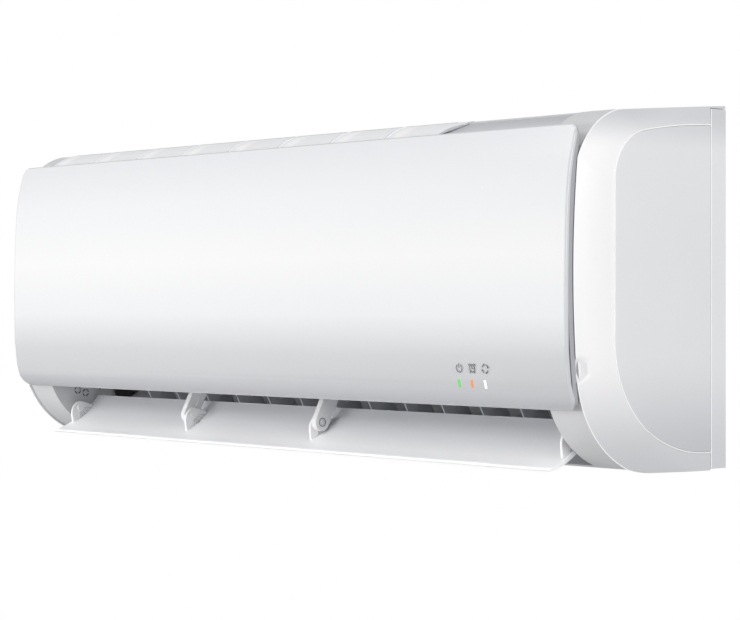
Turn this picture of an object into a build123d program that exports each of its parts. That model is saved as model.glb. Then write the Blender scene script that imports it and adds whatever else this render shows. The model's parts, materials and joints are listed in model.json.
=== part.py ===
from build123d import *
import os
from math import cos, degrees, hypot, radians, sin, sqrt

# Wall-hung indoor unit of a split air conditioner.
# X runs to the unit's right as seen by someone facing the wall, Y towards the wall, Z up.
# Sections are drawn as (y, z) with z counted from the underside, and every piece is moved
# down by SCREW_ROW_HEIGHT when it is written, so the origin is the centre of the four wall
# screws on the wall's surface.

# ---------------------------------------------------------------- driving sizes
CLEAR = 0.3                  # seat clearance between pieces that only rest on each other
RUN_CLEAR = 0.05             # radial clearance of a pin or shaft that turns in a bore

# body shell
BODY_WIDTH = 782.0           # between the two creases, also the width of the front panel
CAP_DEPTH = 11.5             # how far each end cap stands out beyond the panel
BAND_DEPTH = 18.5            # rear band that stands against the wall
BAND_TOP = 289.5
SHELL = 2.4                  # wall of the moulded shells
CHASSIS_WALL = 2.5
DECK_AT_WALL = 292.6
RIDGE = (-115.0, 284.3)      # where the top deck meets the front shoulder
SHOULDER_MID = (-142.5, 270.6)
FRONT_Y = -157.9             # front of the shell where the shoulder and the belly begin
FRONT_MID_Y = -163.2         # the front bulges to here behind the middle of the panel
SHOULDER_END_Z = 247.0
BELLY_START_Z = 68.5
BELLY_MID = (-134.8, 25.0)
BELLY_END = (-95.3, 1.8)

# end caps
CREASE_LAND = 1.5            # flat edge of the cap beside the front panel
CAP_LIP = 1.0                # rim of the cap round its insert
CAP_FLOOR = 2.0
INSERT_THICK = 2.0
INSERT_GAP = 0.25
INSERT_FRONT_Y = -131.5
INSERT_TOP_REAR_Z = 276.2
INSERT_BOTTOM_REAR_Z = 13.7
NOTCH_RADIUS = 10.5          # finger dimple beside the lower corner of the panel
NOTCH_Z = 81.0

# front panel
PANEL_TOP_Z = 271.5
PANEL_BOTTOM_Z = 50.8
PANEL_FOOT_Y = -158.0
PANEL_CORNER = 10.0
PANEL_SKIN = 3.0
PANEL_THICK = 8.0
PANEL_WEB = 1.8
PANEL_POCKETS = (6, 2)       # pockets behind the skin, along and up
PANEL_RIM = 12.0             # solid rim round the pockets
PANEL_RIB = 4.0
PANEL_FOOT_RIM = 22.0        # taller rim at the foot, which carries the lamps
PANEL_HINGE = (-147.5, 259.0)
PANEL_PIN_RADIUS = 2.5
PANEL_ARM_RADIUS = 4.8
PANEL_ARM_THICK = 5.0
PANEL_ARM_INSET = 25.0       # outer hinge arms, from the panel's ends
HINGE_LUG_THICK = 3.5
LAMP_PITCH = 15.0
LAMP_INSET = 89.0            # last lamp from the panel's right end
LAMP_WIDTH = 3.5
LAMP_BOTTOM_Z = 64.3
LAMP_HEIGHT = 6.9

# top deck inlet
WINDOW_PITCH = 54.0
WINDOW_RIB = 7.0
WINDOW_INSET = 25.0          # first window from the left crease
WINDOW_LAND = 20.0           # least plain deck between the last window and the recess
RECESS_INSET = 39.0          # end of the recess from the right crease
RECESS_LENGTH = 144.0
SLOT_FRONT_Y = -136.0
SLOT_REAR_Y = -30.0
SLOT_BARS = 5                # long bars that cross the windows
SLOT_BAR_WIDTH = 3.0

# outlet
OUTLET_INSET = 38.0          # cheek of the outlet from the crease
OUTLET_TOP_Z = 51.0
CHEEK_WALL = 2.4
DUCT_START = (-35.0, 48.0)   # where the curved rear guide turns into the straight floor
DUCT_SLOPE = 30.0
GUIDE_INSET = 1.5            # end of the rear guide inside the cheek
GUIDE_TOP = (-39.9, 150.3)
GUIDE_MID = (-12.2, 106.8)
LIP_S = 70.4                 # where the duct floor ends and the lower lip begins
BACK_WALL_Y = -9.7
TROUGH_Z = 180.0             # underside of the gutter below the rear coil

# cross-flow fan
FAN_CENTRE = (-72.0, 112.0)
FAN_RADIUS = 44.0
FAN_INNER_RADIUS = 34.0
FAN_INSET = 13.5             # left end of the fan from the end of the guide
FAN_SECTIONS = 6
FAN_BLADES = 24
BLADE_THICK = 1.3
BLADE_SWEEP = 10.0           # degrees that a blade's tip leads its root
FAN_DISC = 2.0
HUB_DEPTH = 18.0
SIDE_WALL = 3.0
MOTOR_BORE_DEPTH = 22.0
FAN_SKEW = 4.0               # each section is turned a little from the one before
SHAFT_RADIUS = 4.0
BUSH_RADIUS = 11.0
MOTOR_RADIUS = 36.0
MOTOR_LENGTH = 46.0
MOTOR_GAP = 6.0
PARTITION = 2.0
PARTITION_GAP = 4.0

# flap
FLAP_PIVOT = (-124.0, 27.0)
FLAP_FRONT = (-150.0, 5.0)
FLAP_REAR = (-97.0, 39.0)
FLAP_SAG = 5.0
FLAP_THICK = 4.0
FLAP_EDGE = 2.5
FLAP_INSET = 2.0             # end of the flap from the cheek
FLAP_BEAD = 1.5
FLAP_SWEEP = 31.8            # keeps the lower lip clear of the flap's rear edge
EAR_THICK = 2.6
EAR_APEX = 6.5
EAR_REACH = 17.0
EAR_TEETH = 6
EAR_ARM_GAP = 0.4            # between an ear and the arm beside it
FLAP_PIN_RADIUS = 2.5
ARM_RADIUS = 8.0
ARM_THICK = 6.0
ARM_LEAN = 27.0              # degrees from upright, leaning to the wall
ARM_STRAIGHT = 26.0
ARM_LEFT_X = -157.0
ARM_RIGHT_X = 39.0
EAR_END_INSET = 6.8          # middle of the end ears from the cheek
DRIVE_RADIUS = 3.0
DRIVE_DEPTH = 12.0
FLAP_MOTOR_CENTRE = (-117.5, 35.5)
FLAP_MOTOR_RADIUS = 14.0
FLAP_MOTOR_LENGTH = 20.0

# vanes
VANE_PITCH = 48.0
VANES_PER_GROUP = 6
VANE_THICK = 1.6
VANE_PIVOT_S = 46.0
VANE_UPSTREAM_S = 28.0
VANE_DOWNSTREAM_S = 54.0
VANE_LINK_ARM = 12.0
VANE_PIN_RADIUS = 1.5
LINK_PIN_RADIUS = 1.2
LINK_HEIGHT = 20.0
LINK_THICK = 2.0
LINK_WIDTH = 7.0
LINK_SLOT_CLEAR = 0.18
CARRIER_THICK = 2.5
CARRIER_WIDTH = 12.0
VANE_LIMIT = 30.0

# heat exchanger
COIL_THICK = 25.0
COIL_LEFT_INSET = 61.0       # ends of the coil from the creases
COIL_RIGHT_INSET = 105.0
COIL_FRONT_Y = -146.0
COIL_FRONT_TOP_Z = 198.0
COIL_UPPER = ((-127.0, 206.5), (-92.0, 254.5))
COIL_REAR = ((-68.0, 254.0), (-33.0, 196.5))
SHEET_THICK = 1.5
TUBE_RADIUS = 3.5
TUBE_SIDES = 10              # flats round a return bend
TUBE_PITCH = 21.0
FIN_GROOVE = 1.2
FIN_GROOVES = 24

# filters
FILTER_THICK = 2.0
FILTER_BOTTOM_Z = 100.0
FILTER_BEND_Z = 226.0
FILTER_BEND_RADIUS = 40.0
FILTER_REAR_Y = -45.0
FILTER_RIM = 8.0
FILTER_RIB = 3.0
FILTER_FOOT = 13.0           # lower rim, which carries the pull tab
FILTER_LEFT_INSET = 57.0     # outer ends of the filters from the creases
FILTER_RIGHT_INSET = 97.0
FILTER_PART_X = 12.0         # each filter's inner end from the middle
FILTER_RAIL = 4.0            # guide rail in front of each upright rim
FILTER_MESH = 0.6

# drain pan
PAN_LIP_Z = 52.0
PAN_TONGUE = (-110.5, 80.0)
PAN_FLOOR_Z = 85.5
PAN_WALL_Z = 95.0
PAN_WALL = 2.2
PAN_INSET = 4.0              # ends of the pan from the creases

# control side
BOX_INSET = 7.0              # control box from the right crease
BOX_LENGTH = 78.0
BOX_Y = (-149.5, -113.0)
BOX_Z = (95.3, 242.0)         # stands on the drain pan's wall
BOX_WALL = 1.2
BOARD_THICK = 1.6

BUTTON_INSET = 51.0          # manual switch from the right crease
BUTTON_Z = 110.0
BUTTON_RADIUS = 4.0
BUTTON_FLANGE = 1.6
BUTTON_STAND = 0.6           # how far the switch stands out of the shell
BOARD_MARGIN = 12.0          # display board beyond the outer lamps
BOARD_Z = (60.0, 79.0)
LED_LENGTH = 3.0

# wall plate
PLATE_INSET = 46.0           # end of the wall plate from the crease
PLATE_Z = (34.0, 262.0)
PLATE_THICK = 1.5
SCREW_SPACING_X = 360.0
SCREW_SPACING_Z = 120.0
SCREW_ROW_HEIGHT = 150.0
SCREW_HOLE_RADIUS = 2.75
HOOK_INSET = 115.0           # middle of each hook from the end of the plate
HOOK_WIDTH = 40.0
HOOK_REACH = 12.0
HOOK_DROP = 14.0

# pipes
GAS_RADIUS = 4.76
LIQUID_RADIUS = 3.18
PIPE_BEND = 18.0
PIPE_SIDES = 12              # flats round a pipe
GAS_RUN_Z = 24.0
GAS_DROP_INSET = 26.0        # upright stretch of each pipe from the right crease
LIQUID_RUN_Z = 12.0
LIQUID_DROP_INSET = 11.0
UNION_X = 40.0               # where each pipe's union meets its hexagon
UNION_STUB = 16.0            # threaded end that takes the installer's flare nut
UNION_HEX = 10.0
GAS_UNION_RADIUS = 7.94
LIQUID_UNION_RADIUS = 5.56
DRAIN_RADIUS = 8.0
DRAIN_INSET = 20.0           # drain from the left crease
DRAIN_Z = 82.0
DRAIN_FROM_Y = -108.0
DRAIN_LENGTH = 40.0

# ---------------------------------------------------------------- derived sizes
HALF = BODY_WIDTH / 2
CAP_OUT = HALF + CAP_DEPTH
SEAM_Y = -(BAND_DEPTH + CLEAR)
SLOPE = radians(DUCT_SLOPE)

OUTLET_HALF = HALF - OUTLET_INSET
GUIDE_HALF = OUTLET_HALF - GUIDE_INSET
FLAP_HALF = OUTLET_HALF - FLAP_INSET
PANEL_ARM_X = (PANEL_ARM_INSET - HALF, 0.0, HALF - PANEL_ARM_INSET)
LAMP_X = [HALF - LAMP_INSET - n * LAMP_PITCH for n in (2, 1, 0)]

RECESS_TO_X = HALF - RECESS_INSET
RECESS_FROM_X = RECESS_TO_X - RECESS_LENGTH
WINDOW_FIRST_X = WINDOW_INSET - HALF
WINDOW_COUNT = int((RECESS_FROM_X - WINDOW_LAND - WINDOW_FIRST_X) // WINDOW_PITCH)

CHORD = hypot(FLAP_REAR[0] - FLAP_FRONT[0], FLAP_REAR[1] - FLAP_FRONT[1])
CHORD_DIR = ((FLAP_REAR[0] - FLAP_FRONT[0]) / CHORD, (FLAP_REAR[1] - FLAP_FRONT[1]) / CHORD)
EAR_END_X = OUTLET_HALF - EAR_END_INSET
EAR_LEFT_X = ARM_LEFT_X + ARM_THICK / 2 + EAR_ARM_GAP
EAR_RIGHT_X = ARM_RIGHT_X - ARM_THICK / 2 - EAR_ARM_GAP - EAR_THICK
EAR_X = (-EAR_END_X - EAR_THICK / 2, EAR_LEFT_X, EAR_RIGHT_X, EAR_END_X - EAR_THICK / 2)

COIL_FROM_X = COIL_LEFT_INSET - HALF
COIL_TO_X = HALF - COIL_RIGHT_INSET
COIL_BOTTOM_Z = PAN_FLOOR_Z + CLEAR
COIL_MID_Y = COIL_FRONT_Y + COIL_THICK / 2
COIL_AXES = {
    "evaporator_front": ((COIL_MID_Y, COIL_BOTTOM_Z), (COIL_MID_Y, COIL_FRONT_TOP_Z)),
    "evaporator_upper": COIL_UPPER,
    "evaporator_rear": COIL_REAR,
}

FAN_LEFT_X = FAN_INSET - GUIDE_HALF
FAN_RIGHT_X = COIL_TO_X
FAN_SECTION = (FAN_RIGHT_X - FAN_LEFT_X) / FAN_SECTIONS
PARTITION_X = FAN_RIGHT_X + PARTITION_GAP
MOTOR_X = PARTITION_X + PARTITION + MOTOR_GAP

PAN_FRONT_Y = FRONT_Y + SHELL + CLEAR
PAN_X = (PAN_INSET - HALF, HALF - PAN_INSET)
DRAIN_X = DRAIN_INSET - HALF
FILTER_Y = PAN_FRONT_Y
FILTER_LEFT_X = (FILTER_LEFT_INSET - HALF, -FILTER_PART_X)
FILTER_RIGHT_X = (FILTER_PART_X, HALF - FILTER_RIGHT_INSET)

BOX_X = (HALF - BOX_INSET - BOX_LENGTH, HALF - BOX_INSET)
BOARD_X = (LAMP_X[0] - BOARD_MARGIN, LAMP_X[-1] + BOARD_MARGIN)
BUTTON_X = HALF - BUTTON_INSET
PLATE_HALF = HALF - PLATE_INSET
HOOK_X = PLATE_HALF - HOOK_INSET
HOOK_Z = PLATE_Z[1] - HOOK_DROP - PLATE_THICK
GAS_DROP_X = HALF - GAS_DROP_INSET
LIQUID_DROP_X = HALF - LIQUID_DROP_INSET


# ---------------------------------------------------------------- shape helpers
def block(x0, x1, y0, y1, z0, z1):
    return Pos((x0 + x1) / 2, (y0 + y1) / 2, (z0 + z1) / 2) * Box(x1 - x0, y1 - y0, z1 - z0)


def along_x(face, x0, x1):
    """Carry a (y, z) face along X from x0 to x1."""
    return extrude(Plane.YZ.offset(x0) * face, amount=x1 - x0, dir=(1, 0, 0))


def prism(points, x0, x1):
    return along_x(make_face(Polyline(*points, close=True)), x0, x1)


def rod_x(radius, x0, x1, yz):
    return Pos((x0 + x1) / 2, *yz) * Rot(0, 90, 0) * Cylinder(radius, x1 - x0)


def rod_y(radius, y0, y1, x, z):
    return Pos(x, (y0 + y1) / 2, z) * Rot(90, 0, 0) * Cylinder(radius, y1 - y0)


def duct(s, h):
    """Place in the outlet duct: s runs down the floor from DUCT_START, h stands off it."""
    y = DUCT_START[0] - s * cos(SLOPE) - h * sin(SLOPE)
    z = DUCT_START[1] - s * sin(SLOPE) + h * cos(SLOPE)
    return (y, z)


def rod_h(radius, h0, h1, x, s):
    """Rod square to the duct floor."""
    base = Plane(origin=(x, *duct(s, h0)), z_dir=(0, -sin(SLOPE), cos(SLOPE)))
    return base * Pos(0, 0, (h1 - h0) / 2) * Cylinder(radius, h1 - h0)


def save(shape, node):
    export_step(Pos(0, 0, -SCREW_ROW_HEIGHT) * shape, "parts/" + node + ".step")


# ---------------------------------------------------------------- outlines
def pushed(point, heading, grow):
    """Point moved by grow along a heading in degrees, where 0 is towards the wall and 90 is up."""
    return (point[0] + grow * cos(radians(heading)), point[1] + grow * sin(radians(heading)))


def body_outline(rear_y, grow=0.0):
    """Side outline of the body between its creases, closed at rear_y."""
    rear_z = DECK_AT_WALL + (DECK_AT_WALL - RIDGE[1]) * rear_y / -RIDGE[0] + grow
    ridge = pushed(RIDGE, 103, grow)
    brow = pushed((FRONT_Y, SHOULDER_END_Z), 172, grow)
    bulge = (FRONT_MID_Y - grow, (SHOULDER_END_Z + BELLY_START_Z) / 2)
    waist = pushed((FRONT_Y, BELLY_START_Z), 188, grow)
    keel = pushed(BELLY_END, 262, grow)
    deck = Line((rear_y, rear_z), ridge)
    shoulder = ThreePointArc(ridge, pushed(SHOULDER_MID, 135, grow), brow)
    front = ThreePointArc(brow, bulge, waist)
    belly = ThreePointArc(waist, pushed(BELLY_MID, 222, grow), keel)
    floor = Polyline(keel, (rear_y, -grow), (rear_y, rear_z))
    return make_face([deck, shoulder, front, belly, floor])


def front_at(z):
    """Y of the body's bulging front at a height."""
    half = (SHOULDER_END_Z - BELLY_START_Z) / 2
    bulge = FRONT_Y - FRONT_MID_Y
    radius = (half ** 2 + bulge ** 2) / (2 * bulge)
    return FRONT_MID_Y + radius - sqrt(radius ** 2 - (z - BELLY_START_Z - half) ** 2)


def insert_outline(rear_y, grow=0.0):
    """D-shaped outline of the flat insert in each end cap."""
    top_rear = (rear_y, INSERT_TOP_REAR_Z + grow)
    bottom_rear = (rear_y, INSERT_BOTTOM_REAR_Z - grow)
    crown = pushed((-117.5, 253.8), 132, grow)
    brow = pushed((INSERT_FRONT_Y, 220.0), 178, grow)
    waist = pushed((INSERT_FRONT_Y, 113.0), 182, grow)
    heel = pushed((-82.0, 28.5), 236, grow)
    top = ThreePointArc(top_rear, pushed((-90.0, 268.5), 110, grow), crown)
    corner = ThreePointArc(crown, pushed((-128.0, 239.0), 155, grow), brow)
    chin = ThreePointArc(waist, pushed((-116.0, 61.5), 208, grow), heel)
    bottom = ThreePointArc(heel, pushed((-52.0, 16.8), 252, grow), bottom_rear)
    return make_face([top, corner, Line(brow, waist), chin, bottom, Line(bottom_rear, top_rear)])


def panel_curve(gap, top_trim=0.0):
    """Curve of the panel's front, set back by gap, from the top edge to the turned-in foot."""
    points = [(-161.0, PANEL_TOP_Z), (-168.5, 240.0), (-172.5, 190.0),
              (-173.0, 140.0), (-171.0, 98.0), (-167.5, 62.0)]
    points = [(y + gap, z) for y, z in points]
    points[0] = (points[0][0] - top_trim, PANEL_TOP_Z)
    start = points[-1]
    end = (PANEL_FOOT_Y, PANEL_BOTTOM_Z + 0.8 * gap)
    bulge = 2.1 * (1 - gap / 10)
    middle = ((start[0] + end[0]) / 2 - bulge, (start[1] + end[1]) / 2 - bulge)
    return Spline(*points), ThreePointArc(start, middle, end), points[0], end


def panel_band(front_gap, back_gap, top_trim=0.0):
    """Face between two curves that follow the panel's front, each set back by its gap."""
    front, front_foot, front_top, front_end = panel_curve(front_gap)
    back, back_foot, back_top, back_end = panel_curve(back_gap, top_trim)
    return make_face([front, front_foot, Line(front_end, back_end), back_foot, back, Line(back_top, front_top)])


# ---------------------------------------------------------------- housing
def inlet_windows():
    """Cutters for the air inlet windows in the deck and shoulder."""
    cutters = []
    for n in range(WINDOW_COUNT):
        x0 = WINDOW_FIRST_X + n * WINDOW_PITCH
        x1 = x0 + WINDOW_PITCH - WINDOW_RIB
        cutters.append(block(x0, x1, SLOT_FRONT_Y, SLOT_REAR_Y, 262, 300))
    return cutters


def front_frame():
    outer = body_outline(20.0)
    ring = along_x(outer, -HALF, HALF) - along_x(offset(outer, amount=-SHELL), -HALF, HALF)
    frame = ring - block(-CAP_OUT, CAP_OUT, SEAM_Y, 40, -10, BAND_TOP + CLEAR)
    frame -= block(-CAP_OUT, CAP_OUT, -CLEAR, 40, -10, 320)
    # cheeks on both sides of the outlet and the raised lower lip between them
    cheek_zone = make_face(Polyline((-175, 52 - 0.3), (PAN_FRONT_Y, 52 - 0.3), (PAN_TONGUE[0], PAN_TONGUE[1] - 0.4),
                                    (-90, 66), (-70, 32), (-75, -5), (-175, -5), close=True))
    cheek = outer & cheek_zone
    lip = prism([(-107, 3.2), duct(LIP_S, 0), duct(LIP_S, -CHASSIS_WALL), (BELLY_END[0] + 3, SHELL),
                 (BELLY_END[0] + 3, 0), BELLY_END], -OUTLET_HALF, OUTLET_HALF)
    mouth = block(-OUTLET_HALF, OUTLET_HALF, -200, BELLY_END[0] - 0.5, -10, OUTLET_TOP_Z)
    frame -= mouth
    frame += (lip & along_x(outer, -HALF, HALF)) - rod_x(FLAP_SWEEP, -HALF, HALF, FLAP_PIVOT)
    for side in (-1, 1):
        x_in = side * OUTLET_HALF
        frame += along_x(cheek, min(x_in, x_in + side * CHEEK_WALL), max(x_in, x_in + side * CHEEK_WALL))
    frame -= rod_x(FLAP_PIN_RADIUS + RUN_CLEAR, -OUTLET_HALF - 5, -OUTLET_HALF + 1, FLAP_PIVOT)
    frame -= rod_x(DRIVE_RADIUS + CLEAR, OUTLET_HALF - 1, OUTLET_HALF + 5, FLAP_PIVOT)
    # openings that the filters lie behind
    rail_zone = make_face(Polyline((-175, FILTER_BOTTOM_Z), (FILTER_Y - CLEAR, FILTER_BOTTOM_Z),
                                   (FILTER_Y - CLEAR, FILTER_BEND_Z), (-175, FILTER_BEND_Z), close=True))
    for x0, x1 in (FILTER_LEFT_X, FILTER_RIGHT_X):
        frame -= block(x0 + FILTER_RAIL, x1 - FILTER_RAIL, -170, -150, FILTER_BOTTOM_Z + 6, 240)
        frame += along_x(outer & rail_zone, x0, x0 + FILTER_RAIL)
        frame += along_x(outer & rail_zone, x1 - FILTER_RAIL, x1)
    # inlet windows with their long bars
    for cutter in inlet_windows():
        frame -= cutter
    pitch = (SLOT_REAR_Y - RIDGE[0]) / SLOT_BARS
    x_end = WINDOW_FIRST_X + WINDOW_COUNT * WINDOW_PITCH
    for n in range(SLOT_BARS):
        y = RIDGE[0] + n * pitch
        bar = block(WINDOW_FIRST_X - 1, x_end, y, y + SLOT_BAR_WIDTH, 270, 300)
        frame += bar & ring
    # ribless recess at the right of the deck
    frame -= recess_cutter()
    frame += recess_floor()
    # pockets and lugs of the panel's hinges
    for x in PANEL_ARM_X:
        half = PANEL_ARM_THICK / 2 + 1
        frame -= block(x - half, x + half, -170, -140, 249, 273)
        for side in (-1, 1):
            x0 = x + side * half
            x1 = x + side * (half + HINGE_LUG_THICK)
            lug = rod_x(PANEL_ARM_RADIUS + 1.5, min(x0, x1), max(x0, x1), PANEL_HINGE)
            lug += block(min(x0, x1), max(x0, x1), -150, -141, 259, 273)
            frame += lug & along_x(outer, -HALF, HALF)
            frame -= rod_x(PANEL_PIN_RADIUS + RUN_CLEAR, min(x0, x1), max(x0, x1), PANEL_HINGE)
    # hole of the manual switch and slots for the lamps' light
    frame -= rod_y(BUTTON_RADIUS + CLEAR, -170, -140, BUTTON_X, BUTTON_Z)
    frame -= block(LAMP_X[0] - 5, LAMP_X[-1] + 5, -170, -150, LAMP_BOTTOM_Z - 1, LAMP_BOTTOM_Z + LAMP_HEIGHT + 1)
    return frame


def recess_profile(sink):
    """Section of the recess: a scoop that falls from the ridge towards the panel."""
    return make_face(Polyline((-119 - sink / 4, 290), (-119 - sink / 4, 281.5 - sink),
                              (-150, 262 - sink), (-175, 262 - sink), (-175, 290), close=True))


def recess_cutter():
    return along_x(recess_profile(0), RECESS_FROM_X, RECESS_TO_X)


def recess_floor():
    outer = body_outline(20.0)
    scoop = recess_profile(0) & outer
    shell = make_face(Polyline((-117, 284), (-117, 279), (-149, 259), (-157, 259), (-157, 284), close=True)) & outer
    return along_x(shell - scoop, RECESS_FROM_X - SHELL, RECESS_TO_X + SHELL)


def end_cap(side):
    """Moulded cap: its skin falls from the crease to the D-shaped insert."""
    crease_x = HALF + CREASE_LAND
    big = Plane.YZ.offset(crease_x) * body_outline(SEAM_Y)
    small = Plane.YZ.offset(CAP_OUT) * insert_outline(SEAM_Y, CAP_LIP)
    solid = along_x(body_outline(SEAM_Y), HALF, crease_x) + loft([big, small], ruled=True)
    hollow_big = Plane.YZ.offset(HALF) * body_outline(1.0, -SHELL)
    hollow_small = Plane.YZ.offset(CAP_OUT - INSERT_THICK - CAP_FLOOR) * insert_outline(1.0, -SHELL)
    hollow = loft([hollow_big, hollow_small], ruled=True)
    notch = Pos(HALF - 1.5, front_at(NOTCH_Z) - 1, NOTCH_Z)
    dimple = notch * Sphere(NOTCH_RADIUS)
    cup = notch * Sphere(NOTCH_RADIUS + SHELL)
    hollow -= cup
    solid -= hollow
    solid -= dimple
    solid -= along_x(insert_outline(SEAM_Y + 1, INSERT_GAP), CAP_OUT - INSERT_THICK, CAP_OUT + 1)
    strip_z = BAND_TOP + CLEAR
    over = along_x(body_outline(-CLEAR), HALF, crease_x) & block(0, CAP_OUT, SEAM_Y - 1, 0, strip_z, 320)
    solid += over
    return solid if side > 0 else mirror(solid, about=Plane.YZ)


def side_insert(side):
    plate = along_x(insert_outline(SEAM_Y), CAP_OUT - INSERT_THICK, CAP_OUT)
    return plate if side > 0 else mirror(plate, about=Plane.YZ)


def guide_cavity():
    """Face of the space round the fan, inside the rear guide."""
    arc = ThreePointArc(GUIDE_TOP, GUIDE_MID, DUCT_START)
    rest = Polyline(DUCT_START, (-92, 52), (-104, 84), (-104, 146), GUIDE_TOP)
    return make_face([arc, rest])


def rear_chassis():
    inside = CAP_OUT - SHELL
    rim = block(-CAP_OUT, CAP_OUT, -BAND_DEPTH, 0, 0, BAND_TOP)
    rim -= block(-inside, inside, -BAND_DEPTH - 1, 1, SHELL, BAND_TOP - SHELL)
    back = block(-inside, inside, BACK_WALL_Y, BACK_WALL_Y + CHASSIS_WALL, SHELL, BAND_TOP - SHELL)
    for side in (-1, 1):
        x = side * HOOK_X
        half = HOOK_WIDTH / 2 + 1
        back -= block(x - half, x + half, -20, 0, HOOK_Z - 6, HOOK_Z + PLATE_THICK + CLEAR)
    back -= block(UNION_X - 60, GAS_DROP_X - 15, -20, 0, SHELL + 1, 40)
    # curved rear guide, then the straight duct floor down to the lip
    lip = duct(LIP_S - CLEAR, 0)
    under = duct(LIP_S - CLEAR, -CHASSIS_WALL)
    turn = duct(0.0, -CHASSIS_WALL)
    crown = (GUIDE_TOP[0] + CHASSIS_WALL, GUIDE_TOP[1] + 0.5)
    edges = [ThreePointArc(GUIDE_TOP, GUIDE_MID, DUCT_START), Polyline(DUCT_START, lip, under, turn)]
    edges.append(ThreePointArc(turn, (GUIDE_MID[0] + CHASSIS_WALL, GUIDE_MID[1]), crown))
    edges.append(Line(crown, GUIDE_TOP))
    guide = along_x(make_face(edges), -GUIDE_HALF, GUIDE_HALF)
    # gutter below the rear coil, carried by the guide's crown and the back wall
    guide += prism([GUIDE_TOP, crown, (-41.5, TROUGH_Z + 1), (-44, TROUGH_Z + 1)], -GUIDE_HALF, GUIDE_HALF)
    guide += prism([(BACK_WALL_Y + 1, TROUGH_Z - 9.5), (BACK_WALL_Y + 1, TROUGH_Z - 7), (-41.5, TROUGH_Z + 2.5),
                    (-46, TROUGH_Z + 12.5), (-48.3, TROUGH_Z + 11.5), (-43.4, TROUGH_Z)], -GUIDE_HALF, GUIDE_HALF)
    # side wall with the bush seat on the left, partition beside the motor on the right
    side_wall = along_x(guide_cavity(), -GUIDE_HALF, -GUIDE_HALF + SIDE_WALL)
    side_wall -= rod_x(BUSH_RADIUS, -GUIDE_HALF - 1, -GUIDE_HALF + SIDE_WALL + 1, FAN_CENTRE)
    partition = along_x(guide_cavity(), PARTITION_X, PARTITION_X + PARTITION)
    partition -= rod_x(SHAFT_RADIUS * 3, PARTITION_X - 1, PARTITION_X + PARTITION + 1, FAN_CENTRE)
    guide += side_wall + partition
    # two cradles under the motor
    for x in (MOTOR_X + 8, MOTOR_X + MOTOR_LENGTH - 12):
        cradle = along_x(guide_cavity(), x, x + 4) - block(x - 1, x + 5, -200, 0, FAN_CENTRE[1], 300)
        guide += cradle - rod_x(MOTOR_RADIUS, x - 1, x + 5, FAN_CENTRE)
    # brackets that join the guide to the back wall
    for x in (-GUIDE_HALF, -120, 120, GUIDE_HALF - 3):
        guide += prism([(BACK_WALL_Y, 60), (BACK_WALL_Y, 46), (-36, 44), (-33, 47.5), (-26, 62)], x, x + 3)
    guide -= rod_x(FLAP_SWEEP, -GUIDE_HALF - 1, GUIDE_HALF + 1, FLAP_PIVOT)
    return rim + back + guide


def wall_plate():
    plate = block(-PLATE_HALF, PLATE_HALF, -PLATE_THICK, 0, *PLATE_Z)
    # lightening windows between the screw rows
    for n in range(-2, 3):
        plate -= block(n * 120 - 35, n * 120 + 35, -5, 5, PLATE_Z[0] + 30, PLATE_Z[0] + 80)
        plate -= block(n * 120 - 35, n * 120 + 35, -5, 5, PLATE_Z[1] - 90, PLATE_Z[1] - 40)
    for x in (-SCREW_SPACING_X / 2, SCREW_SPACING_X / 2):
        for z in (-SCREW_SPACING_Z / 2, SCREW_SPACING_Z / 2):
            plate -= rod_y(SCREW_HOLE_RADIUS, -5, 5, x, SCREW_ROW_HEIGHT + z)
    # stiffening beads
    for z in (PLATE_Z[0] + 14, PLATE_Z[1] - 20):
        plate += block(-PLATE_HALF + 60, PLATE_HALF - 60, -PLATE_THICK - 2, -PLATE_THICK, z - 3, z + 3)
    # hooks bent out of the top edge, which carry the chassis
    for side in (-1, 1):
        x = side * HOOK_X
        half = HOOK_WIDTH / 2
        plate -= block(x - half - 1, x + half + 1, -10, 5, PLATE_Z[1] - HOOK_DROP, PLATE_Z[1] + 1)
        z0 = HOOK_Z
        plate += block(x - half, x + half, -HOOK_REACH, 0, z0, z0 + PLATE_THICK)
        plate += block(x - half, x + half, -HOOK_REACH - PLATE_THICK, -HOOK_REACH, z0, z0 + HOOK_DROP)
    return plate


def drain_pan():
    y_wall = COIL_FRONT_Y + COIL_THICK + 1.1
    pan = prism([(PAN_FRONT_Y, PAN_LIP_Z), PAN_TONGUE, (y_wall + PAN_WALL, PAN_FLOOR_Z), (y_wall + PAN_WALL, PAN_WALL_Z),
                 (y_wall, PAN_WALL_Z), (y_wall, PAN_FLOOR_Z), (COIL_FRONT_Y - 3, PAN_FLOOR_Z),
                 (COIL_FRONT_Y - 3, PAN_WALL_Z), (PAN_FRONT_Y, PAN_WALL_Z)], *PAN_X)
    pan &= along_x(offset(body_outline(20.0), amount=-SHELL - CLEAR), *PAN_X)
    # closed ends
    for x in PAN_X:
        x0 = min(x, x - PAN_WALL * (1 if x > 0 else -1))
        pan += block(x0, x0 + PAN_WALL, COIL_FRONT_Y - 3.5, y_wall + 0.5, PAN_FLOOR_Z - 1, PAN_WALL_Z)
    board_back = PAN_FRONT_Y + LED_LENGTH + BOARD_THICK + CLEAR
    pan -= block(BOARD_X[0] - CLEAR, BOARD_X[1] + CLEAR, -170, board_back, BOARD_Z[0] - CLEAR, BOARD_Z[1] + CLEAR)
    pan += block(DRAIN_X - 11, DRAIN_X + 11, y_wall + 1, DRAIN_FROM_Y, DRAIN_Z - 11, PAN_WALL_Z)
    pan -= rod_y(DRAIN_RADIUS - 2, y_wall - 6, DRAIN_FROM_Y + 1, DRAIN_X, DRAIN_Z)
    return pan


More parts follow.
